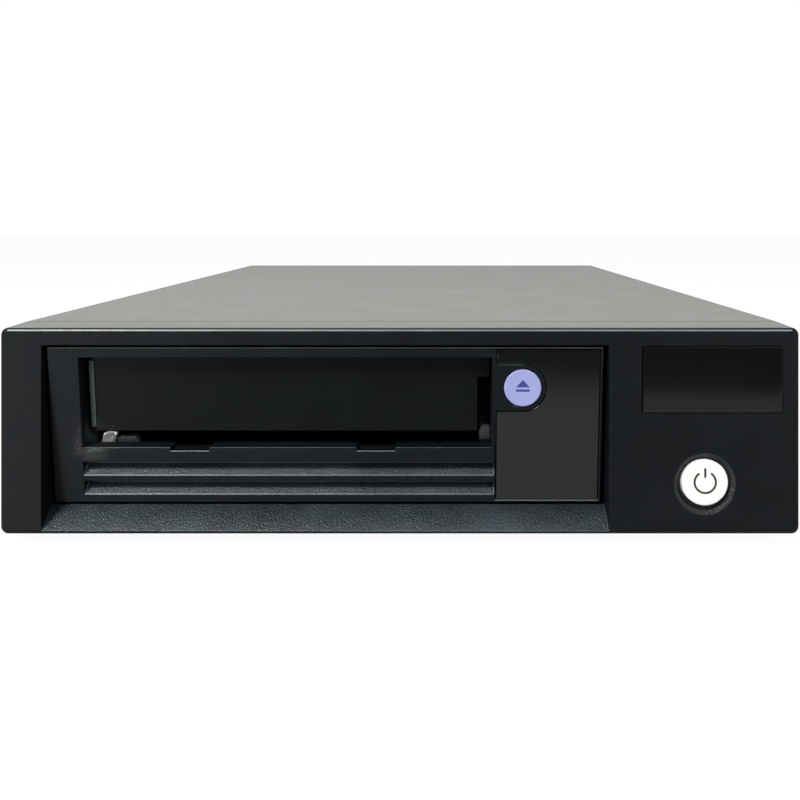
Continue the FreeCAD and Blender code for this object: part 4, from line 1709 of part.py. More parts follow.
def power_cable():
    """From the power supply's side to the drive's plug."""
    z = DECK_TOP + PLUG_HEIGHT / 2
    plug_z = PSU_DECK + POWER_PLUG_TALL / 2
    x = PLUG_X + POWER_CABLE_OFFSET
    end_x = PSU_LEFT - BACK_PLUG_REACH
    points = [(x, DRIVE_BACK + PLUG_DEPTH, z), (x, POWER_PLUG_Y, z), (end_x - POWER_CABLE_CLIMB, POWER_PLUG_Y, z),
              (end_x - POWER_CABLE_END, POWER_PLUG_Y, plug_z), (end_x, POWER_PLUG_Y, plug_z)]
    return cable(points, POWER_CABLE_R, BEND_DIAMETERS * 2 * POWER_CABLE_R)


def mains_wires():
    """From the inlet's tails to the power supply."""
    wires = []
    end_y = PSU_BACK + BACK_PLUG_REACH
    end_z = PSU_DECK + POWER_PLUG_TALL / 2
    for i, (x, z) in enumerate(pin_spots()):
        end_x = MAINS_PLUG_X + WIRE_PITCH * (i - 1)
        start_y = BACK - INLET_DEPTH - PIN_TAIL
        points = [(x, start_y, z), (x, start_y - WIRE_RUN, z), (end_x, end_y + WIRE_END, end_z),
                  (end_x, end_y, end_z)]
        wires.append(cable(points, WIRE_R, BEND_DIAMETERS * 2 * WIRE_R))
    return group(wires)


def fan_cable():
    """From the fan's frame to the power supply."""
    start_y = PANEL_IN - FAN_DEPTH
    end_y = PSU_BACK + BACK_PLUG_REACH
    z = FAN_Z - FAN_SIZE / 2 + FAN_WIRE_UP
    end_z = PSU_DECK + BACK_PLUG_TALL / 2
    x = FAN_X + FAN_WIRE_SIDE
    points = [(x, start_y, z), (x, start_y - WIRE_RUN, z), (FAN_PLUG_X, end_y + FAN_WIRE_END, end_z),
              (FAN_PLUG_X, end_y, end_z)]
    return cable(points, WIRE_R, BEND_DIAMETERS * 2 * WIRE_R)


def switch_cable():
    """From the switch board, straight off its leaning back, to the power supply's front."""
    depth = SWITCH_FRONT + SWITCH_DEPTH + BOARD + SWITCH_PLUG_DEPTH
    up = POWER_UP - SWITCH_PLUG_DROP
    start_y = FRONT + depth * math.cos(LEAN) + up * math.sin(LEAN)
    start_z = FOOT_HEIGHT - depth * math.sin(LEAN) + up * math.cos(LEAN)
    run = SWITCH_WIRE_RUN
    end_y = PSU_FRONT - BACK_PLUG_REACH
    end_z = PSU_DECK + BACK_PLUG_TALL / 2
    points = [(POWER_X, start_y, start_z),
              (POWER_X, start_y + run * math.cos(LEAN), start_z - run * math.sin(LEAN)),
              (FRONT_PLUG_X, end_y - SWITCH_WIRE_END, end_z), (FRONT_PLUG_X, end_y, end_z)]
    return cable(points, WIRE_R, BEND_DIAMETERS * 2 * WIRE_R)


# ---- every sub-part under its node name --------------------------------------------------------
def in_one(*builders):
    """Several small builders' solids, kept apart, in one node."""
    return lambda: group([solid for build in builders for solid in build().Solids])


NODES = {
    "front_fascia": front_fascia,
    "badge_plate": badge_plate,
    "power_button": power_button,
    "power_switch": in_one(power_switch, switch_header),
    "switch_board": switch_board,
    "base_chassis": base_chassis,
    "rubber_feet": rubber_feet,
    "top_cover": top_cover,
    "rear_panel": rear_panel,
    "case_screws": in_one(fascia_screws, switch_board_screws, cover_screws, fan_screws),
    "mains_inlet": mains_inlet,
    "inlet_pins": inlet_pins,
    "data_ports": data_ports,
    "port_tongues": port_tongues,
    "fan_frame": fan_frame,
    "fan_rotor": fan_rotor,
    "psu_frame": psu_frame,
    "psu_board": in_one(psu_board, psu_plugs),
    "psu_transformer": psu_transformer,
    "psu_capacitors": psu_capacitors,
    "psu_heat_sinks": psu_heat_sinks,
    "drive_bezel": drive_bezel,
    "cartridge_door": cartridge_door,
    "door_spring": door_spring,
    "eject_panel": eject_panel,
    "eject_button": eject_button,
    "front_board": in_one(front_board, eject_switch, status_lamps),
    "guide_rib": guide_rib,
    "guide_post": in_one(guide_post, guide_stop),
    "drive_casting": drive_casting,
    "drive_bottom_cover": drive_bottom_cover,
    "drive_top_cover": drive_top_cover,
    "drive_brackets": drive_brackets,
    "drive_screws": in_one(bracket_screws, board_screws, psu_screws),
    "main_board": main_board,
    "board_chips": board_chips,
    "drive_plugs": in_one(drive_receptacle, cable_plug),
    "cartridge_tray": cartridge_tray,
    "cam_slider": cam_slider,
    "tray_guides": tray_guides,
    "loader_gear": loader_gear,
    "motor_pinion": motor_pinion,
    "loader_motor": loader_motor,
    "motor_bracket": in_one(motor_bracket, loader_gear_pin),
    "flat_motors": in_one(supply_motor, take_up_motor),
    "supply_chuck": supply_chuck,
    "take_up_reel": take_up_reel,
    "roller_pins": roller_pins,
    "threading_track": in_one(threading_track, threading_block),
    "head_carriage": head_carriage,
    "tape_head": tape_head,
    "head_guide_posts": in_one(head_guide_posts, head_motor),
    "head_screw": head_screw,
    "data_cables": data_cables,
    "supply_wires": in_one(power_cable, mains_wires),
    "signal_wires": in_one(fan_cable, switch_cable),
}

for node, build in NODES.items():
    save(node, build())
for number, (roller_x, roller_y) in enumerate(ROLLERS, start=1):
    save(f"guide_roller_{number}", guide_roller(roller_x, roller_y))
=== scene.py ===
# %% [markdown]
# # Dressing a desktop data tape drive
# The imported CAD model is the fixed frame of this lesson: every piece of it keeps its place, its name and
# the body that it moves with. Here each piece gets its finish, the pieces that a hand touches or an eye
# meets first get softened edges and printed signs, and a camera and lamps are set up to look at them.
# All lengths are in metres, so one millimetre is written once and used everywhere.

# %% Load the frame
import json
import math

import bpy
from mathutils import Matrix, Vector


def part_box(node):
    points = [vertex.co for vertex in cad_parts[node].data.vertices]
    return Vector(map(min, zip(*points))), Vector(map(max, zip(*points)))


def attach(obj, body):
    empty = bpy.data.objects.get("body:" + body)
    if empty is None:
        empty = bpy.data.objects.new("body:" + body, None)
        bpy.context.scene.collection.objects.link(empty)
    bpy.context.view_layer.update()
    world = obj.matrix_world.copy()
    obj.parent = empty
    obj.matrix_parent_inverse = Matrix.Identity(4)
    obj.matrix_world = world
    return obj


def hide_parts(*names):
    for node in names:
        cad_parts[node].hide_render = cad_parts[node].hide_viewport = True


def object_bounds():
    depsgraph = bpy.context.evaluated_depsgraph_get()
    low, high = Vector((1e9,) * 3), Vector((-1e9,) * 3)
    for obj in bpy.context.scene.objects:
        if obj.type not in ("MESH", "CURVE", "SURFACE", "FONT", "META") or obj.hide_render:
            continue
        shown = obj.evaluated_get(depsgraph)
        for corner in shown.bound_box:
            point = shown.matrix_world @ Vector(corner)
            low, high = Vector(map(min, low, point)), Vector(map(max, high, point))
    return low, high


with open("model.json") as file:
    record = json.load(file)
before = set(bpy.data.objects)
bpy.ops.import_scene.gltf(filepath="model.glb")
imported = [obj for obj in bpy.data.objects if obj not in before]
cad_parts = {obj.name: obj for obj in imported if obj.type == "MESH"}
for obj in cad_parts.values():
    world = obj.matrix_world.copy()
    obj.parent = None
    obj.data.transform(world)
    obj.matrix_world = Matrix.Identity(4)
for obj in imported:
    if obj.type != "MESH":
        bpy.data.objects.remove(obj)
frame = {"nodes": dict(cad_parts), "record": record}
cad_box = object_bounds()
MM = 0.001
RECORD = frame["record"]
BODY_OF = {node: body for body, nodes in RECORD["behaviour"]["bodies"].items() for node in nodes}

# %% [markdown]
# ## Small helpers
# Operators act on whatever is selected, and loading leaves every CAD piece selected, so nothing is
# worked on before everything else has been let go. These helpers hold that habit in one place: one adds
# a primitive, one selects a piece, and the others work on the piece that they select.


# %% Adding, selecting and editing a piece
def fresh(shape, name, **settings):
    """Let everything go, add a primitive and name it."""
    bpy.ops.object.select_all(action="DESELECT")
    getattr(bpy.ops.mesh, f"primitive_{shape}_add")(**settings)
    bpy.context.object.name = name
    return bpy.context.object


def only(piece):
    """Leave this one piece selected and active."""
    bpy.ops.object.select_all(action="DESELECT")
    piece.select_set(True)
    bpy.context.view_layer.objects.active = piece
    return piece


def edit(piece, *steps):
    """Run mesh operators on all of a piece; each step is an operator's name and its settings."""
    only(piece)
    bpy.ops.object.mode_set(mode="EDIT")
    bpy.ops.mesh.select_all(action="SELECT")
    for name, settings in steps:
        getattr(bpy.ops.mesh, name)(**settings)
    bpy.ops.object.mode_set(mode="OBJECT")
    return piece


def modify(piece, kind, **settings):
    """Add a modifier, set it and apply it at once."""
    only(piece)
    modifier = piece.modifiers.new(kind.lower(), kind)
    for key, value in settings.items():
        setattr(modifier, key, value)
    bpy.ops.object.modifier_apply(modifier=modifier.name)
    return piece


print("helpers for a mesh are ready")


# %% Finishing a piece
SMOOTH_DEG = 35


def smooth(piece):
    """Shade soft turns round and leave sharp ones crisp."""
    only(piece)
    bpy.ops.object.shade_smooth_by_angle(angle=math.radians(SMOOTH_DEG))
    return piece


def settle(piece):
    """Put a piece's place into its mesh, so that its object sits at the origin."""
    only(piece)
    bpy.ops.object.transform_apply(location=True, rotation=True, scale=True)
    return piece


def dress(piece, material, body):
    """Give a new piece its finish and the body that it moves with."""
    piece.data.materials.clear()
    piece.data.materials.append(material)
    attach(piece, body)
    return piece


print("turns under", SMOOTH_DEG, "degrees are shaded round")

# %% [markdown]
# ## Colours and shader nodes
# A colour is chosen as it looks on a screen, but a renderer counts light, so one function turns the one
# into the other. Another adds a shader node with its settings and its links in a single line, which
# keeps each material short enough to read.


# %% Colour and node helpers
def colour(code):
    """A screen colour, such as '2a2e32', as the linear values that a shader needs."""
    channels = [int(code[i:i + 2], 16) / 255 for i in (0, 2, 4)]
    return tuple(c / 12.92 if c <= 0.04045 else ((c + 0.055) / 1.055) ** 2.4 for c in channels) + (1.0,)


def add_node(material, kind, settings=None, links=None):
    """Add a shader node, set its properties and sockets, and link its inputs to other nodes' outputs."""
    node = material.node_tree.nodes.new(kind)
    for key, value in (settings or {}).items():
        if key in node.inputs.keys() or isinstance(key, int):
            node.inputs[key].default_value = value
        else:
            setattr(node, key, value)
    for key, source in (links or {}).items():
        material.node_tree.links.new(source, node.inputs[key])
    return node


def new_material(name):
    """An empty material, and the object coordinates that its patterns follow."""
    material = bpy.data.materials.new(name)
    material.use_nodes = True
    material.node_tree.nodes.clear()
    place = add_node(material, "ShaderNodeTexCoord")
    return material, place.outputs["Object"]


def wear_surface(material, shader):
    """Make a shader the surface of its material."""
    add_node(material, "ShaderNodeOutputMaterial", links={"Surface": shader.outputs[0]})
    return material


print("a mid grey of 808080 is", round(colour("808080")[0], 3), "in light")

# %% [markdown]
# ## Finishes
# Most of this object is moulded plastic, coated or plated steel, and cast metal. All of them share one
# build: a colour that wanders a little between two shades, a roughness that wanders with it, and a
# relief whose grain has a real size. The differences lie in the numbers, so one function makes them all
# and each call says what the real material is. A painted picture of each surface would be the other
# way, but it would blur up close and wouldn't follow a size that changes.

# %% One function for grained finishes
GRAIN_SHARE = 0.45
DARKEST, LIGHTEST = 0.35, 1.1


def finish(name, light, dark, rough, grain, relief, metal=0.0, specular=0.5, patch=18.0,
           rough_spread=0.08, stretch=(1.0, 1.0, 1.0), kind="NOISE"):
    """light and dark are the two shades, rough the mean roughness; grain, relief and patch are in mm."""
    material, place = new_material(name)
    aligned = add_node(material, "ShaderNodeMapping", {"Scale": stretch}, {"Vector": place})
    cloud = add_node(material, "ShaderNodeTexNoise", {"Scale": 1 / (patch * MM), "Detail": 4.0, "Roughness": 0.6},
                     {"Vector": place})
    if kind == "CELLS":
        fine = add_node(material, "ShaderNodeTexVoronoi", {"feature": "SMOOTH_F1", "Scale": 1 / (grain * MM),
                        "Smoothness": 0.8}, {"Vector": aligned.outputs[0]})
        height = fine.outputs["Distance"]
    else:
        fine = add_node(material, "ShaderNodeTexNoise", {"Scale": 1 / (grain * MM), "Detail": 3.0,
                        "Roughness": 0.55}, {"Vector": aligned.outputs[0]})
        height = fine.outputs["Fac"]
    mixed = add_node(material, "ShaderNodeMath", {"operation": "MULTIPLY_ADD", 1: GRAIN_SHARE},
                     {0: height, 2: cloud.outputs["Fac"]})
    shade = add_node(material, "ShaderNodeMapRange", {"From Min": DARKEST, "From Max": LIGHTEST},
                     {"Value": mixed.outputs[0]})
    tint = add_node(material, "ShaderNodeMix", {"data_type": "RGBA", 6: colour(dark), 7: colour(light)},
                    {0: shade.outputs[0]})
    gloss = add_node(material, "ShaderNodeMapRange",
                     {"To Min": rough - rough_spread, "To Max": rough + rough_spread}, {"Value": shade.outputs[0]})
    bump = add_node(material, "ShaderNodeBump", {"Strength": 1.0, "Distance": relief * MM}, {"Height": height})
    shader = add_node(material, "ShaderNodeBsdfPrincipled", {"Metallic": metal, "Specular IOR Level": specular},
                      {"Base Color": tint.outputs[2], "Roughness": gloss.outputs[0], "Normal": bump.outputs[0]})
    return wear_surface(material, shader)


print("finishes mix", GRAIN_SHARE, "of their grain into the shade")

# %% [markdown]
# ### The black front
# The front is ABS moulded in a spark-eroded mould, which leaves a fine leathery grain that scatters light
# and keeps the black from looking wet. Where a slope faces the user the grain is left coarser, and these slopes
# also get lighter copies of the black that are a painted sheen. Narrow edges that look up get a light grey that
# is a painted highlight. The sheets over the badge place and the eject panel are polished acrylic
# instead: no grain, low roughness, and a faint unevenness that only a reflection shows.
#
# A real mould's grain is 0.1 to 0.3 mm across and hardly a tenth of that deep. From half a metre that is too
# fine to show, so the coarse grain is drawn about twice as wide and a good deal deeper.

# %% Plastics of the front
FASCIA_ABS = finish("fascia_abs_fine_texture", "0a1015", "06090c", 0.48, 0.5, 0.08, specular=0.18)
BEZEL_ABS = finish("bezel_abs_fine_texture", "0d1419", "080c0f", 0.48, 0.45, 0.06, specular=0.2)
# painted sheen: the ramp and groove slopes get a black much lighter than the front, for the light they catch
SHEEN_GRAIN_ABS = finish("abs_spark_eroded_grain_painted_sheen", "39444a", "0a0d0e", 0.36, 0.55, 0.34, specular=0.55)
# painted highlight: narrow edges that look up get this light grey for the light that they catch
EDGE_HIGHLIGHT_ABS = finish("abs_painted_edge_highlight", "7c8284", "565c5e", 0.35, 0.5, 0.05)
# painted highlight: the bead's light grey-teal stands for the lit bar down the door's left edge
BEAD_HIGHLIGHT_ABS = finish("abs_bead_painted_highlight", "4c5856", "37413f", 0.35, 0.4, 0.01)
# painted sheen: the dish gets a black a little lighter than the front, so that its grain shows light
DISH_SHEEN_ABS = finish("abs_spark_eroded_dish_painted_sheen", "161c20", "060808", 0.36, 0.55, 0.34)
DOOR_ABS = finish("door_abs_satin", "090e10", "06090b", 0.42, 0.35, 0.012, specular=0.14)
SMOKED_ACRYLIC = finish("smoked_acrylic_polished", "101313", "0c0e0e", 0.1, 30.0, 0.01, patch=40.0,
                        rough_spread=0.03)
BADGE_ACRYLIC = finish("badge_acrylic_polished", "070909", "050606", 0.08, 30.0, 0.01, patch=40.0,
                       rough_spread=0.03)
print("black plastics made")

# %% [markdown]
# ### Buttons, guides and ink
# The buttons are ABS moulded in their own colour, so they have no coat that could chip: a soft gloss over a
# hardly visible grain. The rib and the posts behind the door are polycarbonate. The signs are pad-printed
# ink, a little duller than the plastic under it.

# %% Coloured plastics and ink
BUTTON_BLUE = finish("button_abs_periwinkle", "a3a9d8", "949bcf", 0.35, 0.3, 0.006, specular=0.4)
BUTTON_WHITE = finish("button_abs_white", "f6f5f1", "edece8", 0.3, 0.3, 0.004, specular=0.4)
RIB_WHITE = finish("polycarbonate_rib_white", "fbfbfa", "f0f0ee", 0.3, 0.5, 0.004)
POST_GREY = finish("post_polycarbonate_grey", "9aa0a4", "7c8286", 0.3, 0.5, 0.01)
SIGN_INK_BLUE = finish("pad_printed_ink_blue", "474c95", "34387c", 0.45, 0.2, 0.004)
SIGN_INK_GREY = finish("pad_printed_ink_grey", "34302e", "262322", 0.45, 0.2, 0.004)
print("coloured plastics made")

# %% [markdown]
# ### Metals and coats
# The cover is cold-rolled steel with a warm grey powder coat. The powder melts into tiny rounded hills
# about a millimetre apart, which break a lamp's reflection into a soft sheen. Zinc plating on the hidden
# sheet metal is brighter, with a faint drawn grain along the roll, and bearing steel has fine lines.

# %% Steel, castings and plating
COVER_COAT = finish("powder_coated_steel", "6d6d69", "676764", 0.6, 0.9, 0.09, kind="CELLS")
ZINC_SHEET = finish("zinc_plated_steel", "b9bcbd", "979b9d", 0.34, 0.5, 0.01, metal=1.0,
                    stretch=(1.0, 0.08, 1.0), patch=9.0)
SCREW_ZINC = finish("zinc_plated_screw", "a9acae", "84888a", 0.3, 0.25, 0.008, metal=1.0)
# painted shade: the casting, its tray guides and the cam slider get dark finishes so the inside of the opening
# reads black
SHADE_DARK_CAST = finish("die_cast_painted_shade_dark", "1a1b1c", "101112", 0.6, 0.6, 0.03, specular=0.35)
SHADE_DARK_STEEL = finish("spring_steel_painted_shade_dark", "1c1d1e", "121314", 0.5, 0.4, 0.01, specular=0.35)
CAST_ALUMINIUM = finish("die_cast_aluminium", "a8abad", "8a8e91", 0.48, 0.6, 0.03, metal=1.0)
TURNED_STEEL = finish("turned_bearing_steel", "9a9da0", "7b7f82", 0.26, 0.3, 0.006, metal=1.0, stretch=(1, 1, 0.1))
NICKEL_BRASS = finish("nickel_plated_brass", "c9c3a8", "aaa487", 0.25, 0.4, 0.006, metal=1.0)
print("metals made")

# %% [markdown]
# ### Inside and behind
# There are rubber feet, glass-filled black plastics, acetal gears that keep their milky natural colour,
# solder mask over laminate, windings under yellow tape, and PVC cable sheaths. The rubber is the dullest of
# them, and the solder mask shines because it is cured as a wet film.

# %% Rubber, inner plastics, boards and sheaths
FOOT_RUBBER = finish("foot_rubber_black", "232323", "171717", 0.75, 0.5, 0.03, specular=0.3)
BLACK_PBT = finish("glass_filled_pbt_black", "232527", "141517", 0.45, 0.35, 0.02, specular=0.4)
ACETAL = finish("natural_acetal", "dedbd0", "cdc9bc", 0.42, 0.5, 0.01)
SOLDER_MASK = finish("solder_mask_green", "1f6a3c", "154a2a", 0.28, 2.2, 0.03, kind="CELLS", patch=6.0)
CHIP_RESIN = finish("moulded_chip_resin", "2a2b2c", "1b1c1d", 0.55, 0.3, 0.02)
WINDING_TAPE = finish("polyester_winding_tape", "d8b73a", "b8962a", 0.3, 1.2, 0.03)
PVC_SHEATH = finish("pvc_sheath_grey", "3b3d40", "2b2d2f", 0.5, 1.0, 0.02)
CAN_SLEEVE = finish("capacitor_sleeve_dark", "23304a", "182236", 0.35, 1.5, 0.01)
print("inner finishes made")

# %% [markdown]
# ## Every CAD piece gets its finish
# The table below reads like a parts list: the piece first, then the finish that it wears.

# %% Finishes by piece
WEARS = {
    "front_fascia": FASCIA_ABS, "drive_bezel": BEZEL_ABS, "cartridge_door": DOOR_ABS,
    "eject_panel": SMOKED_ACRYLIC, "badge_plate": BADGE_ACRYLIC, "eject_button": BUTTON_BLUE,
    "power_button": BUTTON_WHITE, "guide_rib": RIB_WHITE, "guide_post": POST_GREY, "top_cover": COVER_COAT,
    "base_chassis": ZINC_SHEET, "rear_panel": COVER_COAT, "case_screws": SCREW_ZINC, "drive_screws": SCREW_ZINC,
    "rubber_feet": FOOT_RUBBER, "mains_inlet": BLACK_PBT, "inlet_pins": NICKEL_BRASS, "data_ports": ZINC_SHEET,
    "port_tongues": BLACK_PBT, "fan_frame": BLACK_PBT, "fan_rotor": BLACK_PBT, "psu_frame": ZINC_SHEET,
    "psu_board": SOLDER_MASK, "psu_transformer": WINDING_TAPE, "psu_capacitors": CAN_SLEEVE,
    "psu_heat_sinks": CAST_ALUMINIUM, "door_spring": TURNED_STEEL, "front_board": SOLDER_MASK,
    # painted shade: the casting, tray, cam slider and tray guides wear dark finishes so the opening's inside reads
    # black
    "power_switch": BLACK_PBT, "switch_board": SOLDER_MASK, "drive_casting": SHADE_DARK_CAST,
    "drive_bottom_cover": ZINC_SHEET, "drive_top_cover": ZINC_SHEET, "drive_brackets": ZINC_SHEET,
    "main_board": SOLDER_MASK, "board_chips": CHIP_RESIN, "drive_plugs": BLACK_PBT, "cartridge_tray": BLACK_PBT,
    "cam_slider": SHADE_DARK_STEEL, "tray_guides": SHADE_DARK_CAST, "loader_gear": ACETAL, "motor_pinion": ACETAL,
    "loader_motor": TURNED_STEEL, "motor_bracket": ZINC_SHEET, "flat_motors": TURNED_STEEL,
    "supply_chuck": ACETAL, "take_up_reel": ACETAL, "roller_pins": TURNED_STEEL, "threading_track": ZINC_SHEET,
    "head_carriage": CAST_ALUMINIUM, "tape_head": CHIP_RESIN, "head_guide_posts": TURNED_STEEL,
    "head_screw": TURNED_STEEL, "data_cables": PVC_SHEATH, "supply_wires": PVC_SHEATH,
    "signal_wires": PVC_SHEATH,
}
WEARS.update({f"guide_roller_{i}": CAST_ALUMINIUM for i in range(1, 5)})
for node, material in WEARS.items():
    mesh = frame["nodes"][node].data
    mesh.materials.clear()
    mesh.materials.append(material)
print("bare of finish:", sorted(set(frame["nodes"]) - set(WEARS)))

# %% [markdown]
# ## Softened edges
# No moulding or bent sheet has a truly sharp edge, and that tiny rounding is what catches a lamp and draws
# the bright line round every opening of a black front. The CAD solids keep crisp edges, so the pieces that
# show get a twin: a copy of the CAD mesh with its doubled points merged, and then a narrow bevel on whatever
# turns sharply. Normals weighted by area keep the flats flat. The twin stands for the CAD piece and moves
# as it does.
#
# Modelling each shape again from a primitive would give the same look but could drift from the frame.

# %% How a twin is made
SHARP_DEG = 50
SAME_POINT = 0.05 * MM
SLIVER = 0.001 * MM


def twin(node, name):
    """A copy of a CAD node's mesh with its doubled points merged."""
    piece = bpy.data.objects.new(name, frame["nodes"][node].data.copy())
    bpy.context.scene.collection.objects.link(piece)
    return edit(piece, ("remove_doubles", {"threshold": SAME_POINT}))


def round_edges(piece, width, clamp=False):
    """A narrow bevel, in mm, on whatever turns sharply."""
    return modify(piece, "BEVEL", width=width * MM, segments=2, limit_method="ANGLE",
                  angle_limit=math.radians(SHARP_DEG), use_clamp_overlap=clamp)


def soften(node, name, width):
    """Stand a twin with narrow rounded edges in a CAD node's place; the width is in mm."""
    piece = round_edges(twin(node, name), width)
    edit(piece, ("remove_doubles", {"threshold": SLIVER}), ("normals_make_consistent", {"inside": False}))
    smooth(piece)
    modify(piece, "WEIGHTED_NORMAL", weight=100, keep_sharp=True)
    dress(piece, WEARS[node], BODY_OF[node])
    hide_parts(node)
    print(piece.name, "has", len(piece.data.polygons), "faces")
    return piece


print("edges over", SHARP_DEG, "degrees are rounded")

# %% [markdown]
# ABS mouldings have edges of 0.2 to 0.4 mm, because the steel mould can't be sharper. The bezel's grooves
# and the sill of its mouth get theirs here, and they turn into thin lines of light. Small parts such as the
# door, the sheets and the buttons are held to closer edges, so theirs are about half as wide.

# %% Mouldings of the front
fascia = soften("front_fascia", "fascia_moulding", 0.3)
bezel = soften("drive_bezel", "bezel_moulding", 0.2)
soften("cartridge_door", "door_flap", 0.12)
soften("eject_panel", "smoked_panel", 0.12)
soften("badge_plate", "badge_cover", 0.12)
soften("guide_post", "grey_guides", 0.2)
soften("guide_rib", "white_rib", 0.15)
soften("power_button", "power_cap", 0.15)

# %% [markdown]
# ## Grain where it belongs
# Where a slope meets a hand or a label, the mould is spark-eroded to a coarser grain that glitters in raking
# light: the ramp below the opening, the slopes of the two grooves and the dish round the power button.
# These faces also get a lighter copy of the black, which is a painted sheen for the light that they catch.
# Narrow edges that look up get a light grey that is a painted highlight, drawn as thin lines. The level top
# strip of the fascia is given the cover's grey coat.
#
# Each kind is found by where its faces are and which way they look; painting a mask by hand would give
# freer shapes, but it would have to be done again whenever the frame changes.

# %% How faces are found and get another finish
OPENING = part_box("drive_bezel")
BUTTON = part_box("power_button")
LEFT_OF_OPENING = 2 * MM
RIGHT_OF_OPENING = 3 * MM
RAMP_OVERLAP = 1 * MM
WELL_RADIUS = 10.4 * MM
GROOVES_TALL = 14 * MM
COAT_DEEP = 2 * MM
EDGE_WIDE = 0.2 * MM
EDGE_LONG = 1 * MM
LEVEL = 0.97


def repaint(piece, material, wanted):
    """Give the faces that pass a test another finish."""
    piece.data.materials.append(material)
    last = len(piece.data.materials) - 1
    found = [face for face in piece.data.polygons if wanted(face)]
    for face in found:
        face.material_index = last
    return len(found)


def on_ramp(face):
    """The slope of the fascia below its opening."""
    across = OPENING[0][0] - LEFT_OF_OPENING < face.center.x < OPENING[1][0] + RIGHT_OF_OPENING
    slopes = 0.1 < face.normal.z < LEVEL and face.normal.y < 0
    return across and slopes and face.center.z < OPENING[0][2] + RAMP_OVERLAP


def in_dish(face):
    """The dished well round the power button, but not the flat front that it is sunk into."""
    x = (BUTTON[0][0] + BUTTON[1][0]) / 2
    z = (BUTTON[0][2] + BUTTON[1][2]) / 2
    return math.hypot(face.center.x - x, face.center.z - z) < WELL_RADIUS and face.normal.y > -0.95


def on_top(face):
    """The level strip along the top of the fascia."""
    return face.normal.z > LEVEL and face.center.z > cad_box[1][2] - COAT_DEEP


def on_groove(face):
    """The slopes of the bezel's two grooves."""
    slopes = 0.1 < face.normal.z < LEVEL and face.normal.y < -0.1
    return slopes and face.center.z < OPENING[0][2] + GROOVES_TALL


def upper_edge(piece, face):
    """A narrow strip that looks up and forward."""
    if not (0.25 < face.normal.z < LEVEL and face.normal.y < -0.2):
        return False
    corners = [piece.data.vertices[i].co for i in face.vertices]
    longest = max((a - b).length for a, b in zip(corners, corners[1:] + corners[:1]))
    return face.area / longest < EDGE_WIDE and longest > EDGE_LONG


print("the opening is", round((OPENING[1][0] - OPENING[0][0]) / MM, 1), "mm wide")

# %% Grain, burnished edges and coat
# the ramp, the dish and the groove slopes get their painted sheen here
ramp = repaint(fascia, SHEEN_GRAIN_ABS, on_ramp)
dish = repaint(fascia, DISH_SHEEN_ABS, in_dish)
coat = repaint(fascia, COVER_COAT, on_top)
slopes = repaint(bezel, SHEEN_GRAIN_ABS, on_groove)
# narrow up-facing edge strips of the bezel and fascia get their painted highlight here
edges = repaint(bezel, EDGE_HIGHLIGHT_ABS, lambda face: upper_edge(bezel, face))
edges += repaint(fascia, EDGE_HIGHLIGHT_ABS, lambda face: face.normal.z < 0.6 and upper_edge(fascia, face))
print("faces: ramp", ramp, "dish", dish, "coat", coat, "slopes", slopes, "edges", edges)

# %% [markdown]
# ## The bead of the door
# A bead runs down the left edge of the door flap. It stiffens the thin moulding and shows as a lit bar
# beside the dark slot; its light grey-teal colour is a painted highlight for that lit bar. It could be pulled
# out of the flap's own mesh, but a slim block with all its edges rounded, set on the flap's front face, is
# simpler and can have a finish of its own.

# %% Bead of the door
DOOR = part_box("cartridge_door")
BEAD = (1.4 * MM, 0.3 * MM, 18.4 * MM)
HINGE_PIN_TO_BEAD = 6.85 * MM
SILL_TO_BEAD_MIDDLE = 10.6 * MM
BEAD_AT = (DOOR[0][0] + HINGE_PIN_TO_BEAD, DOOR[0][1] - BEAD[1] / 2, DOOR[0][2] + SILL_TO_BEAD_MIDDLE)
bead = fresh("cube", "door_bead", size=1.0, location=BEAD_AT)
bead.scale = BEAD
settle(bead)
modify(bead, "BEVEL", width=0.14 * MM, segments=3)
smooth(bead)
# the bead wears its painted highlight
dress(bead, BEAD_HIGHLIGHT_ABS, BODY_OF["cartridge_door"])
print("bead at", [round(c / MM, 2) for c in BEAD_AT])

# %% [markdown]
# ## Feet and rear fittings
# The feet, the inlet and the cages of the data ports are rounded in the same way. The cover and the rear
# panel are folded sheet: their bends are already round in the frame, and a deburred edge of thin sheet is
# too small to see, so they keep the CAD meshes.

# %% Feet, inlet and port cages
soften("rubber_feet", "moulded_feet", 0.3)
soften("mains_inlet", "inlet_body", 0.3)
soften("data_ports", "port_cages", 0.15)

# %% [markdown]
# ## Screws
# A pan head has a rounded rim and a cross recess for the driver. The recess is cut with a cross-shaped
# punch, as cold heading makes it: a square bar whose four sides are pulled out into arms, sunk into the
# head along its own axis. Cutting away two crossed bars would do too, but would take two cuts per head.

# %% Choosing faces, and the cross punch
RECESS_HALF = 1.4 * MM
RECESS_BAR = 0.32 * MM
RECESS_DEEP = 0.55 * MM


def pick(piece, wanted):
    """Select the faces whose middle and direction pass a test, and stay in edit mode."""
    only(piece)
    bpy.context.tool_settings.mesh_select_mode = (False, False, True)
    bpy.ops.object.mode_set(mode="EDIT")
    bpy.ops.mesh.select_all(action="DESELECT")
    bpy.ops.object.mode_set(mode="OBJECT")
    for face in piece.data.polygons:
        face.select = wanted(face.center, face.normal)
    bpy.ops.object.mode_set(mode="EDIT")


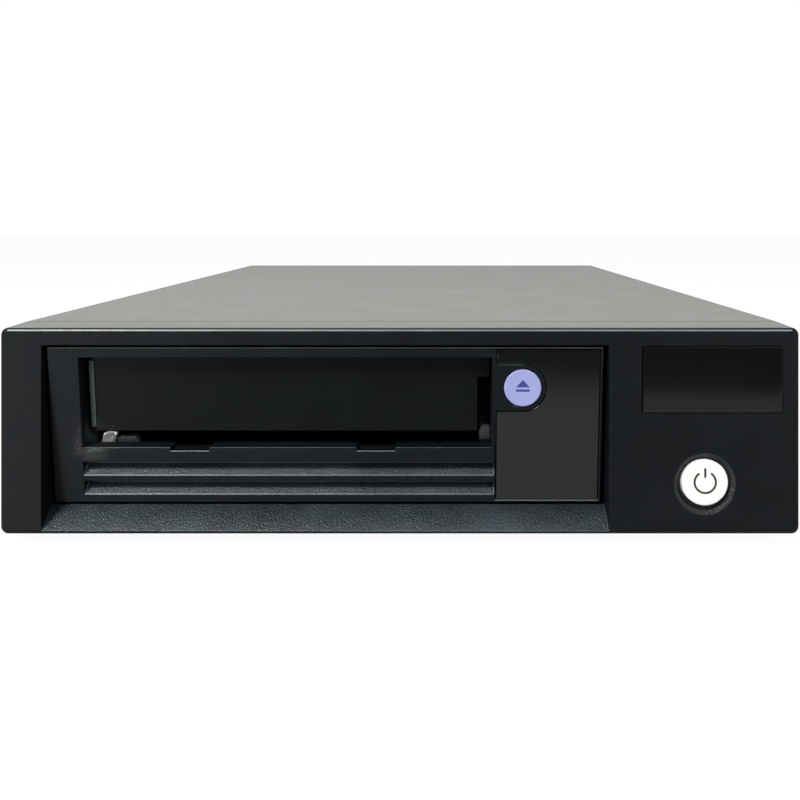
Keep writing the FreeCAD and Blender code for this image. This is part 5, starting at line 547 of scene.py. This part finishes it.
def cross_punch(place, along):
    """A plus-shaped solid that sinks into a head at a place, along a direction."""
    punch = settle(fresh("cube", "cross_punch", size=2.0, scale=(RECESS_BAR, RECESS_BAR, RECESS_DEEP)))
    reach = RECESS_HALF - RECESS_BAR
    for x, y in ((1, 0), (-1, 0), (0, 1), (0, -1)):
        pick(punch, lambda middle, normal: normal.x * x + normal.y * y > 0.9
             and abs(middle.x) + abs(middle.y) < 2 * RECESS_BAR and abs(middle.z) < RECESS_BAR)
        bpy.ops.mesh.extrude_region_move(TRANSFORM_OT_translate={"value": (x * reach, y * reach, 0)})
        bpy.ops.object.mode_set(mode="OBJECT")
    punch.location = place
    punch.rotation_euler = Vector(along).to_track_quat("Z", "Y").to_euler()
    return settle(punch)


def cross_cut(head, place, along):
    """Press a cross into a head and take the punch away."""
    punch = cross_punch(place, along)
    modify(head, "BOOLEAN", operation="DIFFERENCE", object=punch, solver="EXACT")
    bpy.data.objects.remove(punch)


print("a recess is", round(2 * RECESS_HALF / MM, 1), "mm across")

# %% [markdown]
# All the case screws are one node of the frame. They are taken apart for a moment, so that each gets its
# own rounded rim, and the ones whose heads show on the rear panel get their recess. Then they are one
# piece again.


# %% Pan heads
def joined(pieces, name):
    """Make one object of several."""
    bpy.ops.object.select_all(action="DESELECT")
    for piece in pieces:
        piece.select_set(True)
    bpy.context.view_layer.objects.active = pieces[0]
    bpy.ops.object.join()
    pieces[0].name = name
    return pieces[0]


REAR_HEADS = cad_box[1][1] - 3 * MM
screws = twin("case_screws", "pan_head_screws")
edit(screws, ("separate", {"type": "LOOSE"}))
loose = [screws] + [piece for piece in bpy.context.selected_objects if piece is not screws]
for screw in loose:
    low = Vector([min(v.co[i] for v in screw.data.vertices) for i in range(3)])
    high = Vector([max(v.co[i] for v in screw.data.vertices) for i in range(3)])
    round_edges(screw, 0.3, clamp=True)
    if high.y > REAR_HEADS:
        cross_cut(screw, ((low.x + high.x) / 2, high.y, (low.z + high.z) / 2), (0, 1, 0))
screws = smooth(joined(loose, "pan_head_screws"))
dress(screws, WEARS["case_screws"], BODY_OF["case_screws"])
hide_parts("case_screws")
print("screws:", len(loose))

# %% [markdown]
# ## Printed signs
# Both buttons carry a pad-printed sign of ink a few hundredths of a millimetre thick. Each is drawn flat,
# given the ink's thickness, and then laid on the button's own face. That face is found from the button's
# mesh and from the line it travels on, so a leaning button gets a leaning sign.

# %% The face of a button
INK = 0.04 * MM
FACE_DEEP = 0.02 * MM


def button_face(node, joint):
    """The middle of a button's front face, and the direction that the face looks in."""
    inward = Vector(next(j["axis"] for j in RECORD["behaviour"]["joints"] if j["name"] == joint))
    points = [v.co.copy() for v in frame["nodes"][node].data.vertices]
    front = min(point.dot(inward) for point in points)
    face = [point for point in points if point.dot(inward) < front + FACE_DEEP]
    return sum(face, Vector()) / len(face), -inward


def lay_on(sign, node, joint):
    """Give a flat sign, drawn with +Y up, its thickness of ink and set it down on a button's front."""
    modify(sign, "SOLIDIFY", thickness=2 * INK, offset=0.0)
    middle, outward = button_face(node, joint)
    sign.rotation_euler = (math.acos(max(-1.0, min(1.0, outward.z))), 0, 0)
    sign.location = middle
    return settle(sign)


def flat_bar(x, y, width, height):
    """A flat bar of ink in the drawing plane, with its corners rounded."""
    bar = fresh("plane", "ink_bar", size=1.0, location=(x, y, 0))
    bar.scale = (width, height, 1)
    settle(bar)
    return edit(bar, ("bevel", {"offset": 0.08 * MM, "segments": 3, "affect": "VERTICES"}))


print("ink is", INK / MM, "mm thick")

# %% [markdown]
# The eject sign is a triangle over a bar. A sign from a font would bring the font's own shapes with it, so
# the triangle is a circle of three points: it is scaled to the sign's width and height, and its corners are
# rounded as ink rounds them.

# %% Eject sign
SIGN_WIDE = 3.65 * MM
TRIANGLE_TALL = 2.05 * MM
TRIANGLE_FOOT = 0.2 * MM
BAR_MIDDLE = -0.68 * MM
BAR_TALL = 0.6 * MM
triangle = fresh("circle", "ink_triangle", vertices=3, radius=1.0, fill_type="NGON")
corners = [v.co.copy() for v in triangle.data.vertices]
width = max(c.x for c in corners) - min(c.x for c in corners)
height = max(c.y for c in corners) - min(c.y for c in corners)
low = min(c.y for c in corners)
triangle.scale = (SIGN_WIDE / width, TRIANGLE_TALL / height, 1)
triangle.location = (0, TRIANGLE_FOOT - low * TRIANGLE_TALL / height, 0)
settle(triangle)
edit(triangle, ("bevel", {"offset": 0.06 * MM, "segments": 3, "affect": "VERTICES"}))
eject_sign = joined([triangle, flat_bar(0, BAR_MIDDLE, SIGN_WIDE, BAR_TALL)], "eject_sign")
lay_on(eject_sign, "eject_button", "eject_press")
dress(eject_sign, SIGN_INK_BLUE, BODY_OF["eject_button"])
print("eject sign:", len(eject_sign.data.polygons), "faces")

# %% [markdown]
# The power sign is a ring that is open at its top, with a stroke in the gap. A disc is inset by the width
# of the line, its middle is taken away, and so are the faces of the ring that lie within the gap. Bending a
# long bar into a ring would do as well, but its ends would have to be placed by hand.

# %% Power sign
RING_RADIUS = 3.1 * MM
LINE_WIDE = 0.55 * MM
STROKE_MIDDLE = 2.5 * MM
STROKE_TALL = 2.5 * MM
GAP_HALF_DEG = 33
ring = fresh("circle", "ink_ring", vertices=120, radius=RING_RADIUS, fill_type="NGON")
edit(ring, ("inset", {"thickness": LINE_WIDE}), ("delete", {"type": "FACE"}))
pick(ring, lambda middle, normal: abs(math.atan2(middle.x, middle.y)) < math.radians(GAP_HALF_DEG))
bpy.ops.mesh.delete(type="FACE")
bpy.ops.object.mode_set(mode="OBJECT")
power_sign = joined([ring, flat_bar(0, STROKE_MIDDLE, LINE_WIDE, STROKE_TALL)], "power_sign")
lay_on(power_sign, "power_button", "power_press")
dress(power_sign, SIGN_INK_GREY, BODY_OF["power_button"])
print("power sign:", len(power_sign.data.polygons), "faces")

# %% [markdown]
# ## The floor
# A plain pale floor under a plain pale studio. To the camera it is part paper and mostly glow, so it comes
# out white where light reaches it and still shows the soft shadow that seats the object. To every other
# ray it only glows a little, and less towards the viewer, so that it doesn't flood the black front. A floor
# of white paper alone would need so much light to look white that the object would look washed out.

# %% Floor
FLOOR_SIZE = 8.0
FLOOR_GAP = 0.05 * MM
GLOW_SHARE = 0.94
BOUNCE_FADE = {"From Min": -0.46, "From Max": -0.33, "To Min": 0.05, "To Max": 0.65}
floor = fresh("plane", "floor", size=FLOOR_SIZE, location=(0, 0, cad_box[0][2] - FLOOR_GAP))
paper, place = new_material("studio_paper")
axes = add_node(paper, "ShaderNodeSeparateXYZ", links={0: place})
near = add_node(paper, "ShaderNodeMapRange", {"interpolation_type": "SMOOTHSTEP", **BOUNCE_FADE},
                {"Value": axes.outputs[1]})
lit = add_node(paper, "ShaderNodeBsdfDiffuse", {"Color": (0.9, 0.9, 0.9, 1)})
glow = add_node(paper, "ShaderNodeEmission", {"Color": (1, 1, 1, 1), "Strength": 1.02})
bounced = add_node(paper, "ShaderNodeEmission", links={"Strength": near.outputs[0]})
seen = add_node(paper, "ShaderNodeMixShader", {0: GLOW_SHARE}, {1: lit.outputs[0], 2: glow.outputs[0]})
ray = add_node(paper, "ShaderNodeLightPath")
both = add_node(paper, "ShaderNodeMixShader",
                links={0: ray.outputs["Is Camera Ray"], 1: bounced.outputs[0], 2: seen.outputs[0]})
wear_surface(paper, both)
floor.data.materials.append(paper)
print("floor at", round(cad_box[0][2] / MM, 2), "mm")

# %% [markdown]
# ## The studio round it
# The camera sees plain white, but the object is lit and mirrored by a darker room: a bright wall low behind
# it, which gives the cover its sheen, a faint glow low down all round, a thin bright band along the horizon
# that the polished badge mirrors, and next to nothing overhead.
#
# Large cards round the object would do the same and cost nothing to move, but each of them would have to be
# kept out of sight from every side.

# %% World
BEHIND = 2.2
AROUND = 0.06
HORIZON = 0.5
CEILING = 0.05
BACK_FADE = {"From Min": 0.0, "From Max": 0.7}
BACK_HEIGHT = {"From Min": 0.45, "From Max": 0.15}
AROUND_HEIGHT = {"From Min": 0.35, "From Max": 0.0}
HORIZON_HEIGHT = {"From Min": 0.068, "From Max": 0.056}
world = bpy.data.worlds.new("studio")
bpy.context.scene.world = world
world.use_nodes = True
world.node_tree.nodes.clear()
ray = add_node(world, "ShaderNodeLightPath")
direction = add_node(world, "ShaderNodeTexCoord")
axes = add_node(world, "ShaderNodeSeparateXYZ", links={0: direction.outputs["Generated"]})
far_side = add_node(world, "ShaderNodeMapRange", {"interpolation_type": "SMOOTHSTEP", **BACK_FADE},
                    {"Value": axes.outputs[1]})
low_back = add_node(world, "ShaderNodeMapRange", {"interpolation_type": "SMOOTHSTEP", **BACK_HEIGHT},
                    {"Value": axes.outputs[2]})
low_around = add_node(world, "ShaderNodeMapRange", {"interpolation_type": "SMOOTHSTEP", **AROUND_HEIGHT},
                     {"Value": axes.outputs[2]})
brim = add_node(world, "ShaderNodeMapRange",
                {"interpolation_type": "SMOOTHSTEP", **HORIZON_HEIGHT, "To Max": HORIZON},
                {"Value": axes.outputs[2]})
behind = add_node(world, "ShaderNodeMath", {"operation": "MULTIPLY"},
                  {0: far_side.outputs[0], 1: low_back.outputs[0]})
around = add_node(world, "ShaderNodeMath", {"operation": "MULTIPLY", 1: AROUND}, {0: low_around.outputs[0]})
glow = add_node(world, "ShaderNodeMath", {"operation": "MULTIPLY_ADD", 1: BEHIND, 2: CEILING},
                {0: behind.outputs[0]})
both = add_node(world, "ShaderNodeMath", {"operation": "ADD"}, {0: glow.outputs[0], 1: around.outputs[0]})
room = add_node(world, "ShaderNodeMath", {"operation": "ADD"}, {0: both.outputs[0], 1: brim.outputs[0]})
seen = add_node(world, "ShaderNodeMix", {"data_type": "FLOAT", 3: 1.0},
                {0: ray.outputs["Is Camera Ray"], 2: room.outputs[0]})
back = add_node(world, "ShaderNodeBackground", {"Color": (1, 1, 1, 1)}, {"Strength": seen.outputs[0]})
add_node(world, "ShaderNodeOutputWorld", links={"Surface": back.outputs[0]})
print("the wall behind is", BEHIND, "times white")

# %% [markdown]
# ## Camera
# The camera stands 0.4 m in front of the object, a little above it and a little to its right, and looks
# down by as many degrees as the fascia leans back, so it meets the front squarely. The lens shift slides the
# view sideways and up. Turning the camera would do that too, but it would also turn the edges.

# %% Camera
SENSOR_WIDE = 36.0
FOCAL_LENGTH = 41.094
SHIFT = (-0.04625, -0.07762)
EYE = (9.912 * MM, -400.209 * MM, 86.303 * MM)
LOOK_DOWN_DEG = 7.4
lens = bpy.data.cameras.new("camera")
lens.sensor_width = SENSOR_WIDE
lens.lens = FOCAL_LENGTH
lens.shift_x, lens.shift_y = SHIFT
lens.clip_start = 0.01
camera = bpy.data.objects.new("camera", lens)
camera.location = EYE
camera.rotation_euler = (math.radians(90 - LOOK_DOWN_DEG), 0, 0)
bpy.context.scene.collection.objects.link(camera)
bpy.context.scene.camera = camera
print("camera", round(EYE[2] / MM), "mm above the desk")

# %% [markdown]
# ## Lamps
# A soft key lamp stands at the upper left and a weak fill at the right. A wide lamp hangs over the cover,
# a low one rakes across the grain of the ramp, and a tiny one with a very narrow beam reaches in under the
# door to the white rib. All are kept weak enough for a colour to render about as it is written.

# %% Lamps
RIB_SPREAD_DEG = 1.5
LAMPS = {  # place and aim in metres, width in metres, power in watts
    "key_lamp": ((-0.5, -0.7, 0.8), (-0.03, -0.15, 0.03), 0.35, 13.0),
    "top_lamp": ((0.0, 0.28, 1.1), (0, 0.1, 0.05), 0.9, 10.5),
    "fill_lamp": ((0.6, -0.9, 0.5), (0.05, -0.16, 0.03), 0.5, 3.0),
    "low_lamp": ((-0.3, -0.5, 0.035), (-0.06, -0.15, 0.02), 0.08, 0.28),
    "rib_lamp": ((-0.075, -0.46, 0.042), (-0.084, -0.147, 0.026), 0.004, 0.0007),
}
for name, (stand, aim, size, watts) in LAMPS.items():
    light = bpy.data.lights.new(name, "AREA")
    light.size = size
    light.energy = watts
    holder = bpy.data.objects.new(name, light)
    holder.location = stand
    holder.rotation_euler = (Vector(aim) - Vector(stand)).to_track_quat("-Z", "Y").to_euler()
    bpy.context.scene.collection.objects.link(holder)
bpy.data.lights["rib_lamp"].spread = math.radians(RIB_SPREAD_DEG)
bpy.context.scene.view_settings.view_transform = "Standard"
print("lamps:", len(LAMPS))
